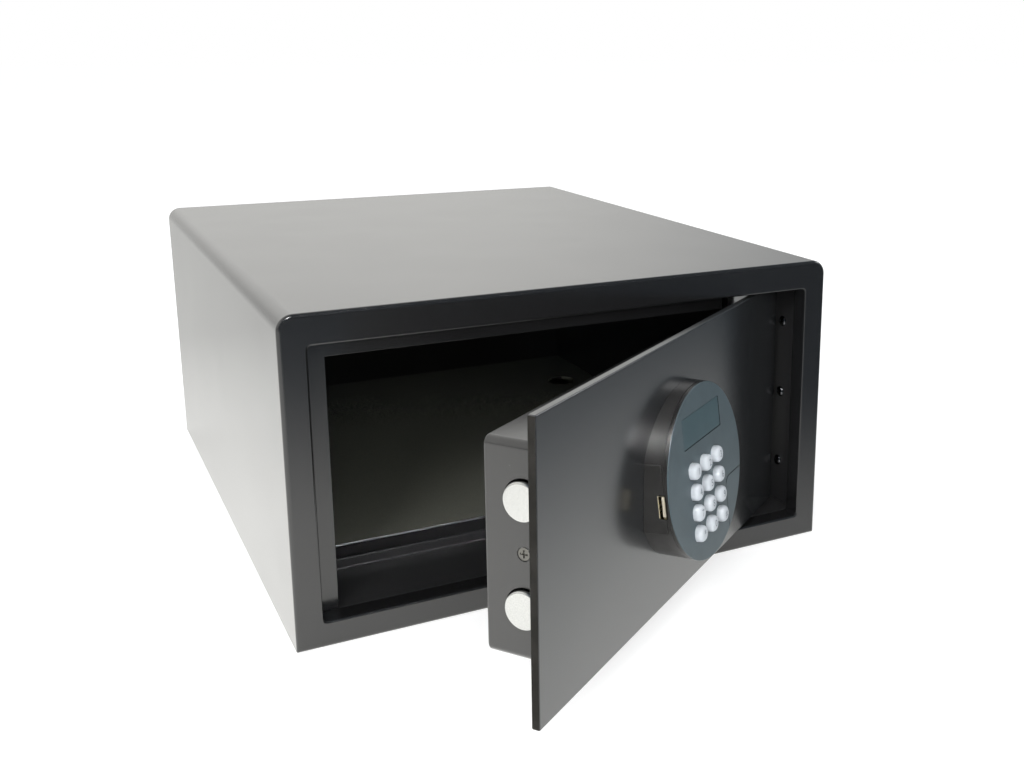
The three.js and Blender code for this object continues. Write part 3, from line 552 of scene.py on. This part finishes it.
crossScrews, keyCap, barRow = screwTree(), keyTree(), barTree()
print("node trees made")

# Body
case = {
    "half": 175,
    "top": 191,
    "depth": 420,
    "rearGap": 0.3,  # before the back panel
    "radius": 9,
    "footRadius": 0.4,
    "sheet": 2,
    "edge": 2.4,  # radius of the rim's outer edge
    "doorwayHalf": 159.65,
    "doorwayBottom": 15.3,
    "doorwayTop": 173,
    "doorwayRadius": 2.2,
    "doorwayEdge": 1.4,
    "returnDepth": 13,
    "hingeReturnDepth": 12,
    "anchors": ((-140, 120), (140, 120), (-140, 340), (140, 340)),
    "anchorRadius": 5,
}


def caseLoop(grow, y, doorway=False):
    if not doorway:
        half, radius = case["half"] + grow, case["radius"] + grow
        outline = roundBox(-half, -grow, half, case["top"] + grow, radius, case["footRadius"], steps=8)
        return [Vector((x, y, z)) for x, z in outline]
    half, radius = case["doorwayHalf"] + grow, case["doorwayRadius"] + grow
    low, high = case["doorwayBottom"] - grow, case["doorwayTop"] + grow
    outline = roundBox(-half, low, half, high, radius, steps=8)
    # The return is shorter on the hinge side
    hingeSide, short = case["doorwayHalf"] - 3, case["hingeReturnDepth"]
    return [Vector((x, min(y, short) if x > hingeSide else y, z)) for x, z in outline]


def buildCase():
    edge, inner, sheet = case["edge"], case["doorwayEdge"], case["sheet"]
    rear, quarter = case["depth"] - case["rearGap"], angles(5)
    loops = [caseLoop(-edge * (1 - math.cos(t)), edge * (1 - math.sin(t))) for t in quarter]
    loops += [caseLoop(inner * (1 - math.sin(t)), inner * (1 - math.cos(t)), True) for t in quarter]
    loops += [
        caseLoop(0, case["returnDepth"], True),
        caseLoop(sheet, case["returnDepth"], True),
        caseLoop(sheet, sheet, True),
        caseLoop(-sheet, sheet),
        caseLoop(-sheet, rear),
        caseLoop(0, rear),
    ]
    mesh = loft(loops, closed=True)
    holes = [drill(case["anchorRadius"], -3, 4, "Z", x, y) for x, y in case["anchors"]]
    mesh = boolean(mesh, holes)
    piece("case", mesh, bodyPlace, casePaint, "body_shell", ("body_shell", "front_frame", "base_plate"))


buildCase()

sill = {
    "front": 13,
    "back": 62,
    "top": 15.3,
    "sheet": 1.5,
    "bend": 1.5,
    "upstand": 22,
    "foot": 2.3,
    "half": 172.7,
    "postRoom": ((164.7, 0, 15.45), (180, 80, 30)),  # cut away for the hinge post
    "bush": (123.2, 21.6),
    "bushHole": 6,
}


def buildSill():
    front, back, top, sheet, bend = (sill[k] for k in ("front", "back", "top", "sheet", "bend"))
    half, high = sheet / 2, sill["upstand"]
    crest = [(back + half - half * math.cos(t), high - half + half * math.sin(t)) for t in angles(8, 180)]
    fold = [(back - bend + bend * math.sin(t), top + bend - bend * math.cos(t)) for t in angles(6)]
    outline = [(front, top), *fold, *crest, (back + sheet, sill["foot"]), (back, sill["foot"]),
               (back, top - sheet), (front, top - sheet)]
    mesh = prism(outline, -sill["half"], sill["half"], "X")
    tools = [slab(*sill["postRoom"]), drill(sill["bushHole"], 5, 25, "Z", *sill["bush"])]
    piece("sill_piece", boolean(mesh, tools), bodyPlace, innerPaintAndTrayShade, "sill")


buildSill()

for name in ("hinge_post", "hinge_header", "bolt_keeper"):
    refined(name, innerPaintAndTrayShade, 0.3)
refined("door_stop", casePaint, 0.3)
refined("back_panel", casePaint, 0.5, 3)
# The tray's front faces take the dark inner paint as painted shade, for the shadow that lies on them
refined("floor_tray", floorGloss, 0.8, 3, trim=innerPaintAndTrayShade, test=lambda f: f.normal.y < -0.9)

hem = {"front": 79.6, "top": 23.1, "radius": 0.7, "half": 155, "steps": 20}


# The bright rolled edge along the front of the floor tray
def buildTrayHem():
    radius = hem["radius"]
    outline = oval(radius, radius, hem["steps"], hem["front"] + radius, hem["top"] - radius)
    mesh = prism(outline, -hem["half"], hem["half"], "X")
    piece("tray_hem", mesh, bodyPlace, zincSteel, "floor_tray", ())


buildTrayHem()

for name in ("hinge_bush_top", "hinge_bush_bottom"):
    refined(name, brightBrass, 0.2)

postScrew = {
    "face": 165,
    "sunk": 0.3,
    "y": 31,
    "pitch": 50,
    "low": 44.5,
    "radius": 3.5,
    "height": 1.8,
    "slotWidth": 0.9,
    "slotDepth": 0.9,
}


def buildPostScrews():
    place = (
        bodyPlace
        @ Matrix.Translation((postScrew["face"] - postScrew["sunk"], postScrew["y"], postScrew["low"]))
        @ Matrix.Rotation(math.radians(-90), 4, "Y")
    )
    data = grown(crossScrews, {
        "Count": 3,
        "Pitch": postScrew["pitch"],
        "Head Radius": postScrew["radius"],
        "Head Height": postScrew["height"],
        "Slot Width": postScrew["slotWidth"],
        "Slot Depth": postScrew["slotDepth"],
        "Material": postSteel,
    }, place)
    shown("post_screw_heads", data, postSteel, "post_screw_1",
          ("post_screw_1", "post_screw_2", "post_screw_3"))


buildPostScrews()
print("body made")

# Door
plate = {
    "left": -158.06,
    "right": 157.6,
    "bottom": 17,
    "top": 171.4,
    "front": 8,
    "back": 12.5,
    "corner": 0.9,
    "edge": 0.8,
    "holes": ((34, 70.5, 7.3), (-12, 94.5, 8)),  # x, z and radius of the lock's and of the cable's
}


def buildPlate():
    left, bottom, right, top = (plate[k] for k in ("left", "bottom", "right", "top"))
    outline = roundBox(left, bottom, right, top, plate["corner"], steps=3)
    mesh = soften(prism(outline, plate["front"], plate["back"]), plate["edge"], steps=4, least=60)
    holes = [drill(radius, 0, 20, "Y", x, z, 48) for x, z, radius in plate["holes"]]
    # The plate's two end faces take a darker, duller material than its front
    mesh = trimmed(boolean(mesh, holes), lambda f: abs(f.normal.x) > 0.8)
    piece("door_plate_piece", mesh, doorPlace, doorPaint, "door_plate", trim=plateEndDark)


buildPlate()

box = {
    "left": -140,
    "right": 75,
    "bottom": 39.5,
    "top": 150.5,
    "front": 12.8,
    "back": 48,
    "sheet": 1.5,
    "radius": 4,
    "fold": 1.6,
    "boltY": 26,
    "boltLevels": (67, 122),
    "boltHole": 10.8,
    "screwHole": 3.8,
    "screwY": 26.2,
    "screwZ": 95,
    "trayRoom": ((13.4, 14.3, 111.9), (64.4, 60, 141.2)),
    "trayScrew": (38.9, 106.5, 1.7),
}


def buildBox():
    left, right, bottom, top, sheet = (box[k] for k in ("left", "right", "bottom", "top", "sheet"))
    front, back, radius, fold = (box[k] for k in ("front", "back", "radius", "fold"))
    outer = roundBox(left, bottom, right, top, radius, steps=8)
    inner = roundBox(left + sheet, bottom + sheet, right - sheet, top - sheet, radius - sheet, steps=8)
    middleA, middleB = (left + right) / 2, (bottom + top) / 2

    def shrunk(outline, by):
        scaleA = 1 - by / ((right - left) / 2)
        scaleB = 1 - by / ((top - bottom) / 2)
        return [(middleA + (a - middleA) * scaleA, middleB + (b - middleB) * scaleB) for a, b in outline]

    loops = [[at(a, b, front, "Y") for a, b in outline] for outline in (inner, outer)]
    for t in angles(5):
        height = back - fold * (1 - math.sin(t))
        loops.append([at(a, b, height, "Y") for a, b in shrunk(outer, fold * (1 - math.cos(t)))])
    shell = loft(loops, caps=False)
    count, total = len(outer), len(shell.verts)
    shell.verts.ensure_lookup_table()
    shell.faces.new([shell.verts[i] for i in range(total - count, total)])
    floorLoop = [shell.verts.new(at(a, b, back - sheet, "Y")) for a, b in inner]
    shell.verts.ensure_lookup_table()
    for i in range(count):
        j = (i + 1) % count
        shell.faces.new((shell.verts[i], shell.verts[j], floorLoop[j], floorLoop[i]))
    shell.faces.new(floorLoop)
    bmesh.ops.recalc_face_normals(shell, faces=shell.faces)
    holes = [drill(box["boltHole"], left - 4, left + 4, "X", box["boltY"], z, 64) for z in box["boltLevels"]]
    for x in (left, right):
        holes.append(drill(box["screwHole"], x - 3, x + 3, "X", box["screwY"], box["screwZ"]))
    holes.append(slab(*box["trayRoom"]))
    screwX, screwZ, screwRadius = box["trayScrew"]
    holes.append(drill(screwRadius, back - 8, back + 12, "Y", screwX, screwZ, 24))
    piece("bolt_box_piece", boolean(shell, holes), doorPlace, boxPaint, "bolt_box")


buildBox()

bolt = {"radius": 10, "front": -143, "length": 45, "edge": 1.1, "rear": 0.8}


def buildBolts():
    radius, front, edge = bolt["radius"], bolt["front"], bolt["edge"]
    rear = front + bolt["length"]
    nose = [(radius - edge * (1 - math.sin(t)), front + edge * (1 - math.cos(t))) for t in angles(5)]
    profile = [(0, front), (radius * 0.5, front), *nose, (radius, rear - bolt["rear"]),
               (radius - bolt["rear"], rear), (0, rear)]
    for name, z in zip(("bolt_lower", "bolt_upper"), box["boltLevels"]):
        piece(name + "_piece", lathe(profile, "X", box["boltY"], z, 96), doorPlace, boltChrome, name)


buildBolts()

boxScrew = {
    "radius": 3.45,
    "rim": 0.25,
    "height": 1.3,
    "shank": 1.9,
    "length": 5,
    "slotHalf": (2.1, 0.42),
    "slotDepth": 0.9,
}


def buildBoxScrews():
    radius, rim, height, shank = (boxScrew[k] for k in ("radius", "rim", "height", "shank"))
    rear, y, z = height + boxScrew["length"], box["screwY"], box["screwZ"]
    profile = [(0, 0), (radius - rim, 0), (radius, rim), (shank, height), (shank, rear), (0, rear)]
    long, thin = boxScrew["slotHalf"]
    for name, x, side in (("box_screw_left", box["left"], 1), ("box_screw_right", box["right"], -1)):
        mesh = lathe([(r, x + side * h) for r, h in profile], "X", y, z, 48)
        near, far = sorted((x - side, x + side * boxScrew["slotDepth"]))
        arms = [slab((near, y - wide, z - tall), (far, y + wide, z + tall))
                for wide, tall in ((long, thin), (thin, long))]
        piece(name + "_piece", boolean(mesh, arms), doorPlace, darkScrew, name)


buildBoxScrews()

for name in ("hinge_bracket_top", "hinge_bracket_bottom", "hinge_pin_top", "hinge_pin_bottom",
             "box_lug_left", "box_lug_right", "bolt_carriage", "bolt_guide", "motor", "lock_plug"):
    refined(name, zincSteel, 0.2)
for name in ("arm_guide", "gearbox", "battery_tray"):
    refined(name, blackPlastic, 0.25)
for name in ("drive_pinion", "lock_cylinder"):
    refined(name, brightBrass, 0.08)
refined("battery_cover", boxPaint, 0.35, 3)
refined("cover_screw", zincSteel, 0.15)
for i in range(1, 5):
    refined(f"battery_{i}", cellJacket, 0.4, 3)
refined("keypad_board", boardGreen, 0.1)
print("door made")

# Keypad
keypad = {
    "half": 52,  # at the plate; the sides lean in from there
    "faceHalf": 50.7,
    "faceShift": 0.8,  # towards the hinge side
    "tall": 50.1,
    "thick": 2.6,
    "film": 0.6,  # the grey film that the dark moulding carries
    "edge": 0.5,
    "rearEdge": 0.3,
    "wall": 2,
    "flat": -47.8,
    "back": 7.98,
    "slack": 0.04,  # between the housing and the face
    "ease": 0.25,
    "gap": 0.3,
    "seam": 0.25,  # cut from the key cover's edge, so that its seam shows
    "window": (-25, 19.2, 26, 36.3),
    "windowCorner": 0.8,
    "windowHoleCorner": 1.0,
    "windowSink": 0.15,
    "windowThick": 1.2,
    "coverX": 26,
    "coverY": -13.3,
    "coverCorner": 6,
}
# The raised panel round the socket
panel = {"low": -19.7, "high": 18.8, "front": -3.65, "corner": 1.6, "rise": 0.3, "rear": 0.8, "ease": 0.22}
socket = {
    "drop": 4.7,  # below the middle of the face
    "high": -3.1,  # depths behind the face
    "low": -7.6,
    "tall": 13.1,
    # Inset, corner and depth of each of the shell's loops, from its inside to its outside
    "loops": (
        (0.55, 0.3, 9.6),
        (0.55, 0.3, 0.5),
        (0.3, 0.4, 0),
        (0.05, 0.6, -0.1),
        (0, 0.6, 0.1),
        (0, 0.6, 10),
    ),
}
tongue = {"near": 0.9, "far": 9.5, "inset": 0.9, "raised": 0.5, "under": 0.9, "over": 0.8, "edge": 0.15}
contact = {"count": 4, "pitch": 2.5, "width": 1.1, "length": 6.8, "thick": 0.12, "middle": 4.4, "below": 0.92}


# y of the tilted face plane, pushed in by some depth, at a height of the shut door
def faceDepth(z, depth):
    return face["front"] + (z - face["middle"]) * math.tan(tilt) + depth / math.cos(tilt)


def buildHousing():
    def wall(inset, front):
        rows = []
        half, shift = (keypad["faceHalf"], keypad["faceShift"]) if front else (keypad["half"], 0)
        for a, b in oval(half - inset, keypad["tall"] * math.cos(tilt) - inset):
            z = face["middle"] + b
            x = max(a + shift, keypad["flat"] + inset)
            y = faceDepth(z, keypad["thick"] + keypad["slack"]) if front else keypad["back"]
            rows.append(Vector((x, y, z)))
        return rows

    sheet = keypad["wall"]
    mesh = loft([wall(0, False), wall(0, True), wall(sheet, True), wall(sheet, False)], closed=True)
    mesh = soften(boolean(mesh, [socketSpace()]), keypad["ease"], steps=2, least=50)
    piece("keypad_housing_piece", mesh, doorPlace, housingPlastic, "keypad_housing", smooth=24)


# The room that the housing and its panel leave for the socket
def socketSpace():
    gap, flat, drop = keypad["gap"], keypad["flat"], socket["drop"]
    halfTall = socket["tall"] / 2 + gap
    low = (flat - 3, -drop - halfTall, socket["low"] - gap)
    high = (flat + 4, halfTall - drop, socket["high"] + gap)
    space = slab(low, high)
    space.transform(faceOnDoor)
    return space


def buildPanel():
    low, high, front, corner = (panel[k] for k in ("low", "high", "front", "corner"))
    rear = [(v, (face["front"] + v * math.sin(tilt) - keypad["back"]) / math.cos(tilt)) for v in (low, high)]
    bend = [(high - corner + corner * math.sin(t), front - corner + corner * math.cos(t)) for t in angles(6)]
    outline = [rear[0], (low, front), *bend, rear[1]]
    mesh = prism(outline, keypad["flat"] - panel["rise"], keypad["flat"] + panel["rear"], "X")
    mesh.transform(faceOnDoor)
    mesh = soften(boolean(mesh, [socketSpace()]), panel["ease"], steps=3, least=40)
    piece("socket_panel", mesh, doorPlace, housingPlastic, "keypad_housing", ())


def buildSocket():
    halfTall, drop, low, high = socket["tall"] / 2, socket["drop"], socket["low"], socket["high"]
    bottom, top, x = -drop - halfTall, halfTall - drop, keypad["flat"] - panel["rise"]

    def loop(inset, corner, depth):
        outline = roundBox(bottom + inset, low + inset, top - inset, high - inset, corner)
        return [at(a, b, x + depth, "X") for a, b in outline]

    shell = loft([loop(*row) for row in socket["loops"]])
    piece("usb_socket_piece", shell, facePlace, socketMetal, "usb_socket")
    middle, inset = (low + high) / 2 + tongue["raised"], tongue["inset"]
    blade = slab((x + tongue["near"], bottom + inset, middle - tongue["under"]),
                 (x + tongue["far"], top - inset, middle + tongue["over"]))
    blade = soften(blade, tongue["edge"], steps=2)
    piece("socket_tongue", blade, facePlace, tonguePlastic, "usb_socket", ())
    first = contact["pitch"] * (contact["count"] - 1) / 2 - drop
    place = facePlace @ Matrix.Translation((x + contact["middle"], first, middle - contact["below"]))
    data = grown(barRow, {
        "Count": contact["count"],
        "Pitch": contact["pitch"],
        "Width": contact["width"],
        "Length": contact["length"],
        "Thickness": contact["thick"],
        "Material": brightBrass,
    }, place @ Matrix.Rotation(-math.pi / 2, 4, "Z"))
    shown("socket_contacts", data, brightBrass, "usb_socket", ())


# Over the housing's flat the face is no more than its film
def faceBlank():
    half, tall, thick, film = (keypad[k] for k in ("faceHalf", "tall", "thick", "film"))
    edge, rearEdge = keypad["edge"], keypad["rearEdge"]
    levels = [(rearEdge, -thick), (0, rearEdge - thick), (0, -film)]
    levels += [(edge * (1 - math.cos(t)), -edge * (1 - math.sin(t))) for t in angles(6)]
    blank = loft([[Vector((a, b, z)) for a, b in oval(half - inset, tall - inset)] for inset, z in levels])
    blank.transform(Matrix.Translation((keypad["faceShift"], 0, 0)))
    return boolean(blank, [slab((-60, -60, -10), (keypad["flat"], 60, -film))])


def coverZone(grow):
    left, top = keypad["coverX"] - grow, keypad["coverY"] + grow
    corner = keypad["coverCorner"]
    arc = [(left + corner - corner * math.sin(t), top - corner + corner * math.cos(t)) for t in angles(8)]
    return prism([*arc, (left, -80), (80, -80), (80, top)], -10, 10, "Z")


keys = {
    "labels": ("1", "2", "3", "4", "5", "6", "7", "8", "9", "star", "0", "hash"),
    "left": -17.6,
    "top": 5.5,
    "column": 15.7,
    "row": 12,
    "width": 9.6,
    "height": 9.2,
    "rise": 4.2,
    "depth": 2.9,
    "plan": 0.86,  # 1 is oval, less is squarer
    "edge": 0.5,  # 1 is a dome, less is a sharper rim
    "holeCorner": 4.4,
    "ink": 5.6,
    "inkRise": 0.06,
    "inkSink": 0.02,
}


def keySpots():
    for i, label in enumerate(keys["labels"]):
        yield label, keys["left"] + i % 3 * keys["column"], keys["top"] - i // 3 * keys["row"]


# Below the film the face and the key cover are the dark moulding
def moulding(mesh):
    return trimmed(mesh, lambda f: f.calc_center_median().z < -keypad["film"] or f.normal.z < -0.5)


def buildFace():
    left, bottom, right, top = keypad["window"]
    gap, sink = keypad["gap"], keypad["windowSink"]
    rear = sink + keypad["windowThick"]
    windowHole = roundBox(left - gap, bottom - gap, right + gap, top + gap, keypad["windowHoleCorner"])
    tools = [coverZone(gap), prism(windowHole, -rear - gap, 5, "Z")]
    halfWide, halfTall = keys["width"] / 2 + gap, keys["height"] / 2 + gap
    for _, x, y in keySpots():
        keyHole = roundBox(x - halfWide, y - halfTall, x + halfWide, y + halfTall, keys["holeCorner"])
        tools.append(prism(keyHole, -10, 10, "Z"))
    blank = moulding(boolean(faceBlank(), tools))
    piece("keypad_face_piece", blank, facePlace, faceFilm, "keypad_face", smooth=24, trim=housingPlastic)
    cover = moulding(boolean(faceBlank(), [coverZone(-keypad["seam"])], "INTERSECT"))
    piece("key_cover_piece", cover, facePlace, faceFilm, "key_cover", smooth=24, trim=housingPlastic)
    window = prism(roundBox(left, bottom, right, top, keypad["windowCorner"]), -rear, -sink, "Z")
    window = soften(window, keypad["ease"])
    piece("display_window_piece", window, facePlace, windowFilm, "display_window")


def inkMark(text):
    curve = bpy.data.curves.new("mark", "FONT")
    curve.body = text
    curve.size = keys["ink"]
    curve.align_x = "CENTER"
    curve.align_y = "CENTER"
    curve.extrude = keys["inkRise"]
    holder = bpy.data.objects.new("mark", curve)
    bpy.context.scene.collection.objects.link(holder)
    graph = bpy.context.evaluated_depsgraph_get()
    data = bpy.data.meshes.new_from_object(holder.evaluated_get(graph))
    bpy.data.objects.remove(holder)
    return data


def buildKeys():
    sizes = {label: keys[label.lower()] for label in ("Width", "Height", "Rise", "Depth", "Plan", "Edge")}
    for label, x, y in keySpots():
        name = "key_" + label
        place = facePlace @ Matrix.Translation((x, y, 0))
        shown(name + "_cap", grown(keyCap, {**sizes, "Material": keyRubber}, place), keyRubber, name)
        mark = inkMark({"star": "*", "hash": "#"}.get(label, label))
        mark.transform(place @ Matrix.Translation((0, 0, keys["rise"] - keys["inkSink"])))
        shown(name + "_mark", mark, keyInk, name, ())


buildHousing()
buildPanel()
buildSocket()
buildFace()
buildKeys()
print("keypad made")


# Stage and light

light = {
    "ambient": 0.7,  # the white room as matt surfaces see it
    "tint": (0.97, 0.985, 1.0),
    "floorHalf": 12,
    "floor": 0.9,  # how pale matt surfaces see it
    "floorLit": 0.5,  # share of the visible floor that takes shadows
    "floorLevel": 0.68,  # what the open floor gets from the room and lamps
    "darkSide": (0.62, -0.78, 0),  # towards the dim part of the room
    "brightColour": (1.0, 0.995, 0.965),
    "darkColour": (0.08, 0.105, 0.13),
    "floorDims": (0.1, 0.65),  # metres along that way where the floor starts and ends to dim
    "floorMiddle": (-0.15, -0.2, 0),
    "floorFades": (1, 0.62, 0.2, 0.75),  # its level near that spot and far, and the metres between
    "roomDims": (-0.55, 0.1),  # as floorDims for the room, from -1 behind to 1 in front
    "roomFades": (0.66, 0.98, 0.1, 0.26),  # the room's level low and high, and the heights between
    "lamps": {
        "over": {"place": (-0.6, 0.2, 1.9), "size": (1.6, 1.6), "power": 14},
        "front": {"place": (-1.3, -1.6, 1.2), "size": (0.7, 0.7), "power": 24},
        "inside": {"place": (-0.22, -1.0, 0.40), "size": (0.5, 0.3), "power": 4},
        "shine": {
            "place": (-0.3, -1.15, 1.1),
            "size": (0.3, 0.3),
            "power": 0.35,
            "glossOnly": True,
            "aim": (-0.08, -0.28, 0.06),
            "spread": 22,
        },
        "keypad": {
            "place": (-0.3, -1.15, 1.1),
            "size": (0.12, 0.12),
            "power": 0.2,
            "glossOnly": True,
            "aim": (-0.015, -0.33, 0.105),
            "spread": 9,
        },
        "right": {"place": (1.3, -0.15, 0.9), "size": (0.4, 0.4), "power": 3, "glossOnly": True},
    },
}


def seenRays(tree):
    path = tree.nodes.new("ShaderNodeLightPath")
    mirrored = sums(tree, "MAXIMUM", path.outputs["Is Glossy Ray"], path.outputs["Is Transmission Ray"])
    return sums(tree, "MAXIMUM", path.outputs["Is Camera Ray"], mirrored)


# White for the camera; reflections turn dim and cool towards the dark side, and fade by a second measure
def roomColour(tree, where, dims, fade, fades):
    along = newNode(tree, "ShaderNodeVectorMath", operation="DOT_PRODUCT")
    along.inputs[1].default_value = light["darkSide"]
    tree.links.new(where, along.inputs[0])
    dimmed = ranged(tree, along.outputs["Value"], 0, 1, *dims, "SMOOTHSTEP")
    faded = newNode(tree, "ShaderNodeVectorMath", operation="SCALE")
    tree.links.new(tinted(tree, dimmed, light["brightColour"], light["darkColour"]), faded.inputs["Vector"])
    tree.links.new(ranged(tree, fade, *fades), faded.inputs["Scale"])
    path = tree.nodes.new("ShaderNodeLightPath")
    seen = newNode(tree, "ShaderNodeMix", data_type="RGBA")
    seen.inputs["B"].default_value = (1, 1, 1, 1)
    tree.links.new(path.outputs["Is Camera Ray"], seen.inputs["Factor"])
    tree.links.new(faded.outputs["Vector"], seen.inputs["A"])
    return seen.outputs["Result"]


def floorWhite():
    material = bpy.data.materials.new("floorWhite")
    material.use_nodes = True
    tree = material.node_tree
    tree.nodes.clear()
    bounce = newNode(tree, "ShaderNodeBsdfDiffuse")
    bounce.inputs["Color"].default_value = (light["floor"],) * 3 + (1,)
    where = newNode(tree, "ShaderNodeTexCoord").outputs["Object"]
    away = newNode(tree, "ShaderNodeVectorMath", operation="DISTANCE")
    away.inputs[1].default_value = light["floorMiddle"]
    tree.links.new(where, away.inputs[0])
    room = roomColour(tree, where, light["floorDims"], away.outputs["Value"], light["floorFades"])
    # One part of the visible floor takes light and shadow, the rest glows
    share = newNode(tree, "ShaderNodeVectorMath", operation="SCALE")
    share.inputs["Scale"].default_value = light["floorLit"]
    lit = newNode(tree, "ShaderNodeBsdfDiffuse")
    glow = newNode(tree, "ShaderNodeEmission")
    glow.inputs["Strength"].default_value = 1 - light["floorLit"] * light["floorLevel"]
    tree.links.new(room, share.inputs["Vector"])
    tree.links.new(share.outputs["Vector"], lit.inputs["Color"])
    tree.links.new(room, glow.inputs["Color"])
    both = newNode(tree, "ShaderNodeAddShader")
    tree.links.new(lit.outputs[0], both.inputs[0])
    tree.links.new(glow.outputs[0], both.inputs[1])
    closeShader(tree, "ShaderNodeOutputMaterial", bounce, both)
    return material


# The first shader lights the object, and the second is seen by the camera and in reflections
def closeShader(tree, kind, first, second):
    mix = newNode(tree, "ShaderNodeMixShader")
    tree.links.new(seenRays(tree), mix.inputs[0])
    tree.links.new(first.outputs[0], mix.inputs[1])
    tree.links.new(second.outputs[0], mix.inputs[2])
    tree.links.new(mix.outputs[0], newNode(tree, kind).inputs["Surface"])


def buildStage():
    half = light["floorHalf"]
    mesh = bmesh.new()
    corners = ((-half, -half, 0), (half, -half, 0), (half, half, 0), (-half, half, 0))
    mesh.faces.new([mesh.verts.new(p) for p in corners])
    data = bpy.data.meshes.new("floor")
    mesh.to_mesh(data)
    mesh.free()
    floor = bpy.data.objects.new("floor", data)
    bpy.context.scene.collection.objects.link(floor)
    data.materials.append(floorWhite())


def buildWorld():
    world = bpy.data.worlds.new("studio")
    bpy.context.scene.world = world
    world.use_nodes = True
    tree = world.node_tree
    tree.nodes.clear()
    dim = newNode(tree, "ShaderNodeBackground")
    dim.inputs["Color"].default_value = (*light["tint"], 1)
    dim.inputs["Strength"].default_value = light["ambient"]
    where = newNode(tree, "ShaderNodeTexCoord").outputs["Generated"]
    split = newNode(tree, "ShaderNodeSeparateXYZ")
    tree.links.new(where, split.inputs["Vector"])
    white = newNode(tree, "ShaderNodeBackground")
    room = roomColour(tree, where, light["roomDims"], split.outputs["Z"], light["roomFades"])
    tree.links.new(room, white.inputs["Color"])
    closeShader(tree, "ShaderNodeOutputWorld", dim, white)


def buildLamps():
    for name, lamp in light["lamps"].items():
        data = bpy.data.lights.new(name, "AREA")
        data.shape = "RECTANGLE"
        data.size, data.size_y = lamp["size"]
        data.energy = lamp["power"]
        made = bpy.data.objects.new(name, data)
        place = Vector(lamp["place"])
        made.location = place
        aim = Vector(lamp.get("aim", (0, 0, 0.1)))
        made.rotation_euler = (place - aim).to_track_quat("Z", "Y").to_euler()
        data.spread = math.radians(lamp.get("spread", 180))
        made.visible_camera = False
        made.visible_glossy = "glossOnly" in lamp
        made.visible_diffuse = "glossOnly" not in lamp
        bpy.context.scene.collection.objects.link(made)


buildStage()
buildWorld()
buildLamps()
bpy.context.scene.view_settings.view_transform = "Standard"
print("stage and light made")
